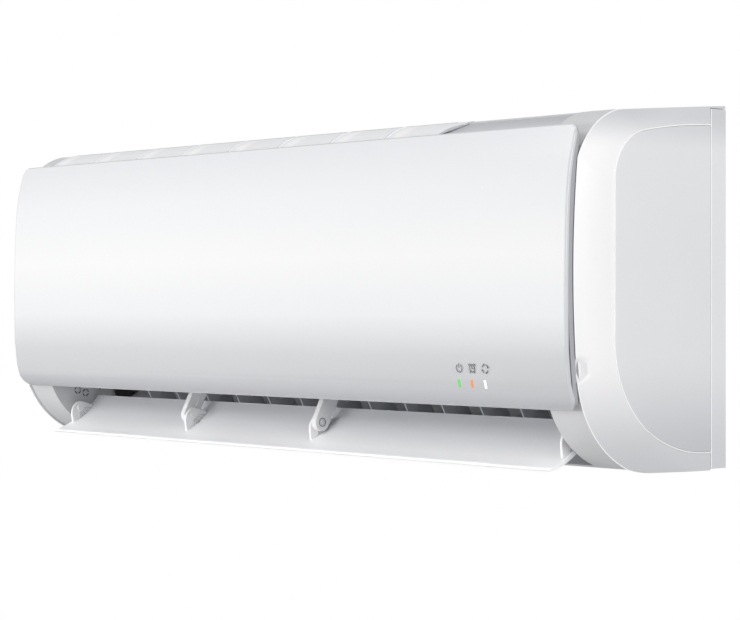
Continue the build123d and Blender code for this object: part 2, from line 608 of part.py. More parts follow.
def drain_spigot():
    tube = rod_y(DRAIN_RADIUS, DRAIN_FROM_Y, DRAIN_FROM_Y + DRAIN_LENGTH, DRAIN_X, DRAIN_Z)
    tube += rod_y(DRAIN_RADIUS + 2, DRAIN_FROM_Y, DRAIN_FROM_Y + 2, DRAIN_X, DRAIN_Z)
    tube -= rod_y(DRAIN_RADIUS - 2, DRAIN_FROM_Y - 1, DRAIN_FROM_Y + DRAIN_LENGTH + 1, DRAIN_X, DRAIN_Z)
    return tube


# ---------------------------------------------------------------- front panel
def panel_plate(x_margin):
    """Front view of the panel, used to round its corners."""
    width = BODY_WIDTH - 2 * x_margin
    height = PANEL_TOP_Z - PANEL_BOTTOM_Z - 2 * x_margin
    sketch = Plane.XZ * RectangleRounded(width, height, PANEL_CORNER - x_margin)
    slab = extrude(sketch, amount=-PANEL_FOOT_Y, both=True)
    return Pos(0, PANEL_FOOT_Y, (PANEL_TOP_Z + PANEL_BOTTOM_Z) / 2) * slab


def front_panel():
    skin = along_x(panel_band(0, PANEL_SKIN), -HALF - 5, HALF + 5) & panel_plate(0.05)
    for x in LAMP_X:
        skin -= block(x - LAMP_WIDTH / 2, x + LAMP_WIDTH / 2, -180, -150, LAMP_BOTTOM_Z, LAMP_BOTTOM_Z + LAMP_HEIGHT)
    return skin


def panel_backing():
    body = along_x(panel_band(PANEL_SKIN, PANEL_THICK, 3.5), -HALF, HALF) & panel_plate(0.6)
    # pockets open to the rear leave a web behind the skin and ribs between them
    web = along_x(panel_band(PANEL_SKIN + PANEL_WEB, PANEL_THICK + 1, 6), -HALF, HALF)
    columns, rows = PANEL_POCKETS
    edge = PANEL_RIM + PANEL_RIB / 2
    span = (BODY_WIDTH - 2 * PANEL_RIM) / columns
    rise = (PANEL_TOP_Z - PANEL_BOTTOM_Z - PANEL_FOOT_RIM - edge) / rows
    for c in range(columns):
        for r in range(rows):
            x0 = PANEL_RIM - HALF + c * span + PANEL_RIB / 2
            z0 = PANEL_BOTTOM_Z + PANEL_FOOT_RIM + r * rise + PANEL_RIB / 2
            body -= web & block(x0, x0 + span - PANEL_RIB, -190, -140, z0, z0 + rise - PANEL_RIB)
    for x in LAMP_X:
        body -= block(x - LAMP_WIDTH / 2, x + LAMP_WIDTH / 2, -180, -140, LAMP_BOTTOM_Z, LAMP_BOTTOM_Z + LAMP_HEIGHT)
    # hinge arms with their pins
    for x in PANEL_ARM_X:
        half = PANEL_ARM_THICK / 2
        arm = rod_x(PANEL_ARM_RADIUS, x - half, x + half, PANEL_HINGE)
        arm += block(x - half, x + half, -160.5, PANEL_HINGE[0], PANEL_HINGE[1] - 3.5, PANEL_HINGE[1] + 3.5)
        reach = half + 1 + HINGE_LUG_THICK - 0.5
        arm += rod_x(PANEL_PIN_RADIUS, x - reach, x + reach, PANEL_HINGE)
        body += arm
    return body


def indicator_windows():
    lenses = []
    band = along_x(panel_band(0, PANEL_THICK - 1), -HALF, HALF)
    for x in LAMP_X:
        half = LAMP_WIDTH / 2
        lenses.append(band & block(x - half, x + half, -180, -140, LAMP_BOTTOM_Z, LAMP_BOTTOM_Z + LAMP_HEIGHT))
    return Compound(lenses)


# ---------------------------------------------------------------- flap
def flap_point(t, depth):
    """Point at share t of the flap's chord, at a depth below the chord."""
    y = FLAP_FRONT[0] + t * CHORD * CHORD_DIR[0] + depth * CHORD_DIR[1]
    z = FLAP_FRONT[1] + t * CHORD * CHORD_DIR[1] - depth * CHORD_DIR[0]
    return (y, z)


def flap():
    top = ThreePointArc(FLAP_FRONT, flap_point(0.5, FLAP_SAG), FLAP_REAR)
    rear = Line(FLAP_REAR, flap_point(0.99, FLAP_EDGE))
    under = ThreePointArc(flap_point(0.99, FLAP_EDGE), flap_point(0.5, FLAP_SAG + FLAP_THICK), flap_point(0.005, FLAP_EDGE))
    front = Line(flap_point(0.005, FLAP_EDGE), FLAP_FRONT)
    blade = along_x(make_face([top, rear, under, front]), -FLAP_HALF, FLAP_HALF)
    return blade + rod_x(FLAP_BEAD, -FLAP_HALF, FLAP_HALF, flap_point(0.012, 1.0))


def ear(x0, bore):
    """Fan-shaped ear that stands on the flap and carries it at the pivot."""
    c = CHORD_DIR
    p = FLAP_PIVOT
    foot = (p[0] - FLAP_FRONT[0]) * c[0] + (p[1] - FLAP_FRONT[1]) * c[1]
    t0 = (foot - EAR_REACH) / CHORD
    t1 = (foot + EAR_REACH) / CHORD
    head = [(p[0] - EAR_APEX * c[0], p[1] - EAR_APEX * c[1]), (p[0] + EAR_APEX * c[0], p[1] + EAR_APEX * c[1])]
    wedge = prism([head[0], flap_point(t0, FLAP_SAG + 1), flap_point(t1, FLAP_SAG + 1), head[1]], x0, x0 + EAR_THICK)
    wedge += rod_x(EAR_APEX, x0, x0 + EAR_THICK, p)
    for n in range(EAR_TEETH):
        t = t0 + (n + 0.5) * (t1 - t0) / EAR_TEETH
        tooth = (t1 - t0) / EAR_TEETH * 0.25
        wedge -= prism([flap_point(t - tooth, 0.6), flap_point(t + tooth, 0.6), flap_point(t + tooth, 9),
                        flap_point(t - tooth, 9)], x0 - 1, x0 + EAR_THICK + 1)
    wedge -= flap()
    return wedge - rod_x(bore, x0 - 1, x0 + EAR_THICK + 1, p)


def flap_ears():
    bores = (FLAP_PIN_RADIUS, FLAP_PIN_RADIUS, FLAP_PIN_RADIUS, DRIVE_RADIUS)
    return Compound([ear(x, bore) for x, bore in zip(EAR_X, bores)])


def flap_pins():
    left = rod_x(FLAP_PIN_RADIUS, -OUTLET_HALF - 2, EAR_X[0] + EAR_THICK + 1, FLAP_PIVOT)
    middle = rod_x(FLAP_PIN_RADIUS, ARM_LEFT_X - ARM_THICK / 2 + 0.5, EAR_X[1] + EAR_THICK + 0.5, FLAP_PIVOT)
    right = rod_x(FLAP_PIN_RADIUS, EAR_X[2] - 0.5, ARM_RIGHT_X + ARM_THICK / 2, FLAP_PIVOT)
    return Compound([left, middle, right])


def flap_arm(x_mid):
    """Fixed arm that hangs from the pan and holds the flap's pin."""
    lean = radians(ARM_LEAN)
    along = (sin(lean), cos(lean))
    across = (-cos(lean), sin(lean))
    p = FLAP_PIVOT

    def at(u, v):
        return (p[0] + u * across[0] + v * along[0], p[1] + u * across[1] + v * along[1])

    def on_pan(y):
        share = (y - PAN_FRONT_Y) / (PAN_TONGUE[0] - PAN_FRONT_Y)
        return (y, PAN_LIP_Z + share * (PAN_TONGUE[1] - PAN_LIP_Z))

    x0 = x_mid - ARM_THICK / 2
    x1 = x_mid + ARM_THICK / 2
    arm = prism([at(ARM_RADIUS, 0), at(ARM_RADIUS, ARM_STRAIGHT), on_pan(-138), on_pan(PAN_TONGUE[0] - 1.5),
                 at(-ARM_RADIUS, ARM_STRAIGHT), at(-ARM_RADIUS, 0)], x0, x1)
    arm += rod_x(ARM_RADIUS, x0, x1, p)
    return arm - rod_x(FLAP_PIN_RADIUS + RUN_CLEAR, x0 - 1, x1 + 1, p)


def flap_motor():
    x0 = OUTLET_HALF + CHEEK_WALL + CLEAR
    body = rod_x(FLAP_MOTOR_RADIUS, x0, x0 + FLAP_MOTOR_LENGTH, FLAP_MOTOR_CENTRE)
    body += block(x0 + 6, x0 + 14, FLAP_MOTOR_CENTRE[0] - 7, FLAP_MOTOR_CENTRE[0] + 7,
                  FLAP_MOTOR_CENTRE[1] + FLAP_MOTOR_RADIUS - 2, FLAP_MOTOR_CENTRE[1] + FLAP_MOTOR_RADIUS + 4)
    return body - rod_x(DRIVE_RADIUS + RUN_CLEAR, x0 - 1, x0 + DRIVE_DEPTH + 1, FLAP_PIVOT)


def flap_drive_shaft():
    return rod_x(DRIVE_RADIUS, EAR_X[3], OUTLET_HALF + CHEEK_WALL + CLEAR + DRIVE_DEPTH, FLAP_PIVOT)


# ---------------------------------------------------------------- vanes
def duct_plane(x):
    """Plane of one vane: local x runs down the duct floor, local y stands off it."""
    return Plane(origin=(x, *DUCT_START), x_dir=(0, -cos(SLOPE), -sin(SLOPE)), z_dir=(-1, 0, 0))


def vane(x):
    base = CARRIER_THICK + CLEAR
    outline = Polyline((VANE_UPSTREAM_S, base), (VANE_DOWNSTREAM_S, base), (VANE_DOWNSTREAM_S, 46),
                       (VANE_PIVOT_S + 4, 52), (VANE_PIVOT_S - 5, 46), (VANE_UPSTREAM_S, 31), close=True)
    blade = extrude(duct_plane(x) * make_face(outline), amount=VANE_THICK / 2, both=True)
    notch = Polyline((VANE_UPSTREAM_S - 1, LINK_HEIGHT - 2.5), (VANE_PIVOT_S - 5, LINK_HEIGHT - 2.5),
                     (VANE_PIVOT_S - 5, LINK_HEIGHT + LINK_THICK + 2.5),
                     (VANE_UPSTREAM_S - 1, LINK_HEIGHT + LINK_THICK + 2.5), close=True)
    blade -= extrude(duct_plane(x) * make_face(notch), amount=VANE_THICK, both=True)
    link_s = VANE_PIVOT_S - VANE_LINK_ARM
    blade += rod_h(LINK_PIN_RADIUS, LINK_HEIGHT - 3.5, LINK_HEIGHT + LINK_THICK + 3.5, x, link_s)
    blade += rod_h(VANE_PIN_RADIUS, CLEAR, base + 6, x, VANE_PIVOT_S)
    return blade


def vane_places():
    count = VANES_PER_GROUP * 2
    return [(n - (count - 1) / 2) * VANE_PITCH for n in range(count)]


def link_bar(places):
    link_s = VANE_PIVOT_S - VANE_LINK_ARM
    swing = VANE_LINK_ARM * (1 - cos(radians(VANE_LIMIT)))
    s0 = link_s - LINK_WIDTH / 2 + swing / 2
    outline = [(s0, LINK_HEIGHT), (s0 + LINK_WIDTH, LINK_HEIGHT), (s0 + LINK_WIDTH, LINK_HEIGHT + LINK_THICK),
               (s0, LINK_HEIGHT + LINK_THICK)]
    length = places[-1] - places[0] + 12
    middle = (places[0] + places[-1]) / 2
    bar = extrude(duct_plane(middle) * make_face(Polyline(*outline, close=True)), amount=length / 2, both=True)
    gap = LINK_PIN_RADIUS + LINK_SLOT_CLEAR
    for x in places:
        for end in (0, swing):
            bar -= rod_h(gap, LINK_HEIGHT - 1, LINK_HEIGHT + LINK_THICK + 1, x, link_s + end)
        slot = [(link_s, LINK_HEIGHT - 1), (link_s + swing, LINK_HEIGHT - 1),
                (link_s + swing, LINK_HEIGHT + LINK_THICK + 1), (link_s, LINK_HEIGHT + LINK_THICK + 1)]
        bar -= extrude(duct_plane(x) * make_face(Polyline(*slot, close=True)), amount=gap, both=True)
    return bar


def vane_carriers():
    """Strips clipped to the duct floor, with a bore for each vane's pin."""
    strips = []
    places = vane_places()
    for group in (places[:VANES_PER_GROUP], places[VANES_PER_GROUP:]):
        s0 = VANE_PIVOT_S - CARRIER_WIDTH / 2
        outline = Polyline((s0, 0), (s0 + CARRIER_WIDTH, 0), (s0 + CARRIER_WIDTH, CARRIER_THICK), (s0, CARRIER_THICK),
                           close=True)
        middle = (group[0] + group[-1]) / 2
        half = (group[-1] - group[0]) / 2 + 18
        strip = extrude(duct_plane(middle) * make_face(outline), amount=half, both=True)
        for x in group:
            strip -= rod_h(VANE_PIN_RADIUS + RUN_CLEAR, -1, CARRIER_THICK + 1, x, VANE_PIVOT_S)
        strips.append(strip)
    return Compound(strips)


# ---------------------------------------------------------------- fan and motor
def polar(radius, degrees):
    return (FAN_CENTRE[0] + radius * cos(radians(degrees)), FAN_CENTRE[1] + radius * sin(radians(degrees)))


def blade_face(turn):
    """Forward-leaning blade between the inner and outer radius."""
    lean = degrees(BLADE_THICK / FAN_INNER_RADIUS)
    outer = FAN_RADIUS - 0.6
    tip = turn + BLADE_SWEEP
    return make_face(Polyline(polar(FAN_INNER_RADIUS, turn), polar(outer, tip), polar(outer, tip + lean),
                              polar(FAN_INNER_RADIUS, turn + lean), close=True))


def fan():
    rotor = None
    for n in range(FAN_SECTIONS):
        x0 = FAN_LEFT_X + n * FAN_SECTION
        disc = rod_x(FAN_RADIUS, x0, x0 + FAN_DISC, FAN_CENTRE)
        if n > 0:
            disc -= rod_x(FAN_INNER_RADIUS - 3, x0 - 1, x0 + FAN_DISC + 1, FAN_CENTRE)
        blades = [along_x(blade_face(b * 360 / FAN_BLADES + n * FAN_SKEW), x0 + FAN_DISC, x0 + FAN_SECTION)
                  for b in range(FAN_BLADES)]
        part = disc.fuse(*blades)
        rotor = part if rotor is None else rotor.fuse(part)
    rotor += rod_x(FAN_RADIUS, FAN_RIGHT_X, FAN_RIGHT_X + FAN_DISC, FAN_CENTRE)
    rotor += rod_x(SHAFT_RADIUS * 2, FAN_RIGHT_X - HUB_DEPTH, FAN_RIGHT_X, FAN_CENTRE)
    rotor += rod_x(SHAFT_RADIUS * 2, FAN_LEFT_X, FAN_LEFT_X + HUB_DEPTH, FAN_CENTRE)
    rotor -= rod_x(SHAFT_RADIUS, FAN_RIGHT_X - HUB_DEPTH - 1, FAN_RIGHT_X + 5, FAN_CENTRE)
    rotor -= rod_x(SHAFT_RADIUS, FAN_LEFT_X - 1, FAN_LEFT_X + HUB_DEPTH + 1, FAN_CENTRE)
    return rotor


def fan_shaft():
    left = rod_x(SHAFT_RADIUS, -GUIDE_HALF + 1, FAN_LEFT_X + HUB_DEPTH, FAN_CENTRE)
    right = rod_x(SHAFT_RADIUS, FAN_RIGHT_X - HUB_DEPTH, MOTOR_X + MOTOR_BORE_DEPTH, FAN_CENTRE)
    return Compound([left, right])


def fan_bush():
    x0 = -GUIDE_HALF
    bush = rod_x(BUSH_RADIUS - 0.1, x0, x0 + SIDE_WALL, FAN_CENTRE)
    bush += rod_x(BUSH_RADIUS + 2, x0 + SIDE_WALL, x0 + SIDE_WALL + 2, FAN_CENTRE)
    return bush - rod_x(SHAFT_RADIUS + RUN_CLEAR, x0 - 1, x0 + SIDE_WALL + 5, FAN_CENTRE)


def fan_motor():
    x1 = MOTOR_X + MOTOR_LENGTH
    motor = rod_x(MOTOR_RADIUS - 0.2, MOTOR_X + 6, x1 - 6, FAN_CENTRE)
    motor += rod_x(MOTOR_RADIUS - 5, MOTOR_X + 2, x1 - 2, FAN_CENTRE)
    motor += rod_x(SHAFT_RADIUS * 2.5, MOTOR_X, x1, FAN_CENTRE)
    return motor - rod_x(SHAFT_RADIUS + RUN_CLEAR, MOTOR_X - 1, MOTOR_X + MOTOR_BORE_DEPTH + 1, FAN_CENTRE)


def motor_clamp():
    """Strap over the motor, resting on its cradles."""
    x0 = MOTOR_X + 8
    x1 = MOTOR_X + MOTOR_LENGTH - 8
    strap = rod_x(MOTOR_RADIUS + 2.5, x0, x1, FAN_CENTRE) - rod_x(MOTOR_RADIUS, x0 - 1, x1 + 1, FAN_CENTRE)
    return strap & block(x0, x1, -200, 0, FAN_CENTRE[1] + CLEAR, 200)


# ---------------------------------------------------------------- heat exchanger
def slab_points(start, end):
    length = hypot(end[0] - start[0], end[1] - start[1])
    ny = -(end[1] - start[1]) / length * COIL_THICK / 2
    nz = (end[0] - start[0]) / length * COIL_THICK / 2
    return [(start[0] + ny, start[1] + nz), (start[0] - ny, start[1] - nz), (end[0] - ny, end[1] - nz),
            (end[0] + ny, end[1] + nz)]


def coil_slab(axis):
    start, end = axis
    slab = prism(slab_points(start, end), COIL_FROM_X, COIL_TO_X)
    pitch = (COIL_TO_X - COIL_FROM_X) / FIN_GROOVES
    for n in range(1, FIN_GROOVES):
        x = COIL_FROM_X + n * pitch
        outer = slab_points(start, end)
        slab -= prism([outer[0], outer[3],
                       tuple(a + (b - a) * 0.1 for a, b in zip(outer[3], outer[2])),
                       tuple(a + (b - a) * 0.1 for a, b in zip(outer[0], outer[1]))],
                      x - FIN_GROOVE / 2, x + FIN_GROOVE / 2)
    return slab


def tube_places(axis):
    start, end = axis
    length = hypot(end[0] - start[0], end[1] - start[1])
    count = int(length // TUBE_PITCH)
    first = (length - (count - 1) * TUBE_PITCH) / 2
    return [tuple(a + (b - a) * (first + n * TUBE_PITCH) / length for a, b in zip(start, end)) for n in range(count)]


def tube_sheets():
    """Sheet-metal end plates that hold the three slabs together."""
    sheets = []
    for x in (COIL_FROM_X - SHEET_THICK, COIL_TO_X):
        sheet = None
        for axis in COIL_AXES.values():
            piece = prism(slab_points(*axis), x, x + SHEET_THICK)
            sheet = piece if sheet is None else sheet + piece
        upper_end = COIL_AXES["evaporator_upper"][1]
        rear_start = COIL_AXES["evaporator_rear"][0]
        sheet += prism([(COIL_MID_Y - 10, COIL_FRONT_TOP_Z - 12), (COIL_MID_Y + 12, COIL_FRONT_TOP_Z - 12),
                        (COIL_UPPER[0][0] + 14, COIL_UPPER[0][1] + 12), (COIL_UPPER[0][0] - 6, COIL_UPPER[0][1] + 12)],
                       x, x + SHEET_THICK)
        sheet += prism([(upper_end[0] - 4, upper_end[1] - 20), (rear_start[0] + 4, rear_start[1] - 20),
                        (rear_start[0] + 4, rear_start[1] + 2), (upper_end[0] - 4, upper_end[1] + 2)],
                       x, x + SHEET_THICK)
        sheets.append(sheet)
    return Compound(sheets)


def return_bends():
    """U bends that join neighbouring tubes outside the left tube sheet."""
    bends = []
    x = COIL_FROM_X - SHEET_THICK
    for axis in COIL_AXES.values():
        places = tube_places(axis)
        for n in range(0, len(places) - 1, 2):
            a, b = places[n], places[n + 1]
            middle = (x, (a[0] + b[0]) / 2, (a[1] + b[1]) / 2)
            across = Vector(0, b[0] - a[0], b[1] - a[1])
            start = Plane(origin=(x, *a), z_dir=(-1, 0, 0), x_dir=across)
            turn = Axis(middle, Vector(-1, 0, 0).cross(across))
            bends.append(revolve(start * RegularPolygon(TUBE_RADIUS, TUBE_SIDES), axis=turn, revolution_arc=180))
    return Compound(bends)


def bent_pipe(points, radius, bend):
    path = FilletPolyline(*points, radius=bend)
    start = Plane(origin=points[0], z_dir=(Vector(*points[1]) - Vector(*points[0])))
    return sweep(start * RegularPolygon(radius, PIPE_SIDES), path=path)


def pipe_points(place, drop_x, run_z):
    """Route out of the right tube sheet, down beside the cheek and back along the rear."""
    y, z = place
    return [(COIL_TO_X + SHEET_THICK, y, z), (drop_x, y, z), (drop_x, y, run_z), (UNION_X + 2, y, run_z)]


def pipe_unions():
    """Brass union on the end of each pipe: a hexagon, then the stub for the flare nut."""
    unions = []
    rear = tube_places(COIL_REAR)
    gas = ((rear[-1][0], GAS_RUN_Z), GAS_RADIUS, GAS_UNION_RADIUS)
    liquid = ((rear[0][0], LIQUID_RUN_Z), LIQUID_RADIUS, LIQUID_UNION_RADIUS)
    for run, pipe_radius, stub_radius in (gas, liquid):
        hexagon = Plane.YZ.offset(UNION_X) * Pos(*run) * RegularPolygon(stub_radius * 1.3, 6)
        union = extrude(hexagon, amount=UNION_HEX)
        union += rod_x(stub_radius, UNION_X - UNION_STUB, UNION_X, run)
        union -= rod_x(pipe_radius, UNION_X + 2, UNION_X + UNION_HEX + 1, run)
        unions.append(union - rod_x(pipe_radius - 1, UNION_X - UNION_STUB - 1, UNION_X + 3, run))
    return Compound(unions)


# ---------------------------------------------------------------- filters
def filter_band(gap, depth):
    """Section of a filter: straight in front, then bent over the top of the coil."""
    y = FILTER_Y + gap
    r = FILTER_BEND_RADIUS - gap
    cy = FILTER_Y + FILTER_BEND_RADIUS
    top = FILTER_BEND_Z + r
    y2 = y + depth
    r2 = r - depth
    diag = sin(radians(45))
    edges = [Line((y, FILTER_BOTTOM_Z), (y, FILTER_BEND_Z)),
             ThreePointArc((y, FILTER_BEND_Z), (cy - r * diag, FILTER_BEND_Z + r * diag), (cy, top)),
             Line((cy, top), (FILTER_REAR_Y, top)), Line((FILTER_REAR_Y, top), (FILTER_REAR_Y, top - depth)),
             Line((FILTER_REAR_Y, top - depth), (cy, top - depth)),
             ThreePointArc((cy, top - depth), (cy - r2 * diag, FILTER_BEND_Z + r2 * diag), (y2, FILTER_BEND_Z)),
             Line((y2, FILTER_BEND_Z), (y2, FILTER_BOTTOM_Z)), Line((y2, FILTER_BOTTOM_Z), (y, FILTER_BOTTOM_Z))]
    return make_face(edges)


def filter_frame(x_range):
    x0, x1 = x_range
    frame = along_x(filter_band(0, FILTER_THICK), x0, x1)
    columns = 4
    span = (x1 - x0 - 2 * FILTER_RIM + FILTER_RIB) / columns
    for c in range(columns):
        xa = x0 + FILTER_RIM + c * span
        xb = xa + span - FILTER_RIB
        for za, zb in ((FILTER_BOTTOM_Z + FILTER_FOOT, 160.0), (160.0 + FILTER_RIB, FILTER_BEND_Z - FILTER_RIB)):
            frame -= block(xa, xb, -170, -145, za, zb)
        frame -= block(xa, xb, FILTER_Y + FILTER_BEND_RADIUS + FILTER_RIB, FILTER_REAR_Y - FILTER_RIM, 255, 280)
    # pull tab at the lower edge
    mid = (x0 + x1) / 2
    return frame + block(mid - 20, mid + 20, FILTER_Y - 2.5, FILTER_Y, FILTER_BOTTOM_Z + 8, FILTER_BOTTOM_Z + 12)


def filter_mesh(x_range):
    """Fine net carried on the inside of the filter's frame."""
    x0, x1 = x_range
    return along_x(filter_band(FILTER_THICK, FILTER_MESH), x0 + 2, x1 - 2)


# ---------------------------------------------------------------- controls
def control_box():
    box = block(*BOX_X, *BOX_Y, *BOX_Z)
    inner = block(BOX_X[0] + BOX_WALL, BOX_X[1] - BOX_WALL, BOX_Y[0] - 1, BOX_Y[1] - BOX_WALL,
                  BOX_Z[0] + BOX_WALL, BOX_Z[1] - BOX_WALL)
    return box - inner


def control_box_cover():
    return block(BOX_X[0], BOX_X[1], BOX_Y[0] - BOX_WALL, BOX_Y[0], *BOX_Z)


def circuit_board():
    y0 = BOX_Y[1] - BOX_WALL - 8
    board = block(BOX_X[0] + 4, BOX_X[1] - 4, y0 - BOARD_THICK, y0, BOX_Z[0] + 40, BOX_Z[1] - 4)
    for x in (BOX_X[0] + 9, BOX_X[1] - 9):
        for z in (BOX_Z[0] + 46, BOX_Z[1] - 10):
            board += rod_y(2.5, y0, BOX_Y[1] - BOX_WALL, x, z)
    board += block(BOX_X[0] + 12, BOX_X[0] + 40, y0 - BOARD_THICK - 16, y0 - BOARD_THICK, BOX_Z[1] - 50, BOX_Z[1] - 20)
    board += Pos(BOX_X[1] - 18, y0 - BOARD_THICK - 9, BOX_Z[1] - 34) * Rot(90, 0, 0) * Cylinder(8, 18)
    board += block(BOX_X[0] + 16, BOX_X[1] - 14, y0 - BOARD_THICK - 8, y0 - BOARD_THICK, BOX_Z[0] + 50, BOX_Z[0] + 60)
    return board


def terminal_block():
    y1 = BOX_Y[1] - BOX_WALL
    body = block(BOX_X[0] + 10, BOX_X[1] - 10, y1 - 16, y1, BOX_Z[0] + 8, BOX_Z[0] + 30)
    for n in range(5):
        x = BOX_X[0] + 17 + n * 11
        body -= block(x - 3.5, x + 3.5, y1 - 20, y1 - 10, BOX_Z[0] + 11, BOX_Z[0] + 27)
        body += rod_y(2.8, y1 - 14, y1 - 9.5, x, BOX_Z[0] + 19)
    return body


def display_board():
    board = block(BOARD_X[0], BOARD_X[1], PAN_FRONT_Y + LED_LENGTH, PAN_FRONT_Y + LED_LENGTH + BOARD_THICK, *BOARD_Z)
    for x in LAMP_X:
        z = LAMP_BOTTOM_Z + LAMP_HEIGHT / 2
        board += block(x - 1.5, x + 1.5, PAN_FRONT_Y, PAN_FRONT_Y + LED_LENGTH, z - 2.5, z + 2.5)
    return board


def manual_button():
    flange = BUTTON_RADIUS + 2
    seat = front_at(BUTTON_Z - flange) + SHELL + 0.1
    rear = seat + BUTTON_FLANGE
    stem = rod_y(BUTTON_RADIUS, front_at(BUTTON_Z) - BUTTON_STAND, rear, BUTTON_X, BUTTON_Z)
    return stem + rod_y(flange, seat, rear, BUTTON_X, BUTTON_Z)


def write_all():
    save(wall_plate(), "wall_plate")
    save(rear_chassis(), "rear_chassis")
    save(front_frame(), "front_frame")
    for side, name in ((-1, "left"), (1, "right")):
        save(end_cap(side), "end_cap_" + name)
        save(side_insert(side), "side_insert_" + name)
    save(drain_pan(), "drain_pan")
    save(drain_spigot(), "drain_spigot")
    save(front_panel(), "front_panel")
    save(panel_backing(), "panel_backing")
    save(indicator_windows(), "indicator_windows")
    save(flap(), "flap")
    save(flap_ears(), "flap_ears")
    save(flap_pins(), "flap_pins")
    save(flap_arm(ARM_LEFT_X), "flap_arm_left")
    save(flap_arm(ARM_RIGHT_X), "flap_arm_right")
    save(flap_motor(), "flap_motor")
    save(flap_drive_shaft(), "flap_drive_shaft")
    places = vane_places()
    for n, x in enumerate(places):
        save(vane(x), "vane_%02d" % (n + 1))
    save(link_bar(places[:VANES_PER_GROUP]), "link_bar_left")
    save(link_bar(places[VANES_PER_GROUP:]), "link_bar_right")
    save(vane_carriers(), "vane_carriers")
    save(fan(), "fan")
    save(fan_shaft(), "fan_shaft")
    save(fan_bush(), "fan_bush")
    save(fan_motor(), "fan_motor")
    save(motor_clamp(), "motor_clamp")
    for name, axis in COIL_AXES.items():
        save(coil_slab(axis), name)
    save(tube_sheets(), "tube_sheets")
    save(return_bends(), "return_bends")
    rear = tube_places(COIL_REAR)
    save(bent_pipe(pipe_points(rear[-1], GAS_DROP_X, GAS_RUN_Z), GAS_RADIUS, PIPE_BEND), "gas_pipe")
    save(bent_pipe(pipe_points(rear[0], LIQUID_DROP_X, LIQUID_RUN_Z), LIQUID_RADIUS, PIPE_BEND), "liquid_pipe")
    save(pipe_unions(), "pipe_unions")
    save(filter_frame(FILTER_LEFT_X), "filter_frame_left")
    save(filter_frame(FILTER_RIGHT_X), "filter_frame_right")
    save(filter_mesh(FILTER_LEFT_X), "filter_mesh_left")
    save(filter_mesh(FILTER_RIGHT_X), "filter_mesh_right")
    save(control_box(), "control_box")
    save(control_box_cover(), "control_box_cover")
    save(circuit_board(), "circuit_board")
    save(terminal_block(), "terminal_block")
    save(display_board(), "display_board")
    save(manual_button(), "manual_button")


os.makedirs("parts", exist_ok=True)
write_all()
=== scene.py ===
"""Looks of the wall-hung indoor unit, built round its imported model."""
import json
from math import atan2, cos, hypot, pi, radians, sin, sqrt

import bmesh
import bpy
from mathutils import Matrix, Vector


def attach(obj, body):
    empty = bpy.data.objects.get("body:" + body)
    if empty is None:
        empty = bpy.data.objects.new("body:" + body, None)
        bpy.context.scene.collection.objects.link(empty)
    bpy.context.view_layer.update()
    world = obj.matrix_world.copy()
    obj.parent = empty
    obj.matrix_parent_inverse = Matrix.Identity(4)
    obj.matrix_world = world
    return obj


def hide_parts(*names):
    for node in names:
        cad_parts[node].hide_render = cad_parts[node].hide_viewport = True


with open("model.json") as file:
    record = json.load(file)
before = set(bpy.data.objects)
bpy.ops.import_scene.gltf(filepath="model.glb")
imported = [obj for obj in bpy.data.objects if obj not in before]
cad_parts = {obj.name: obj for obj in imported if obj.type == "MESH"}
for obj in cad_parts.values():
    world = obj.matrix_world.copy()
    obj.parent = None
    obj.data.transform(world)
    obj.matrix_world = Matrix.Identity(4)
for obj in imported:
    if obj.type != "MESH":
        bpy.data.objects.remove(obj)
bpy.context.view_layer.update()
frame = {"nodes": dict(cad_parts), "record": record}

MM = 0.001
METRE = 1000.0               # millimetres in a metre
SCREW_ROW_HEIGHT = 150.0     # the frame's origin above the unit's underside

# sizes and places that several pieces share, in millimetres
HALF = 391.0
CREASE_X = 391.5
CAP_OUT = 402.5
SEAM_Y = -18.8
BAND_TOP_Z = 289.5
OUTLET_HALF = 353.0
PANEL_TOP_Z = 271.5
PANEL_FOOT_Z = 49.9
PANEL_FOOT_Y = -158.0
PANEL_CORNER = 10.0
PANEL_SKIN = 3.0
RIDGE = (-115.0, 284.3)      # (y, z) where the deck turns down over the shoulder
CREST_Z = 291.25             # the deck's height where it meets the rear band
RIB_START = -367.5
RIB_PITCH = 73.3
LAMP_X = (268.6, 283.6, 298.6)
LAMP_WIDTH = 3.0
LAMP_Z = (65.2, 71.8)
FLAP_PIVOT = (-124.0, 27.0)
FLAP_FRONT = (-150.0, 5.0)
FLAP_REAR = (-97.0, 39.0)


# ---------------------------------------------------------------- finishes
def shade(code):
    """Linear colour from a hexadecimal one."""
    parts = [int(code[n:n + 2], 16) / 255 for n in (1, 3, 5)]
    linear = [p / 12.92 if p <= 0.04045 else ((p + 0.055) / 1.055) ** 2.4 for p in parts]
    return (*linear, 1.0)


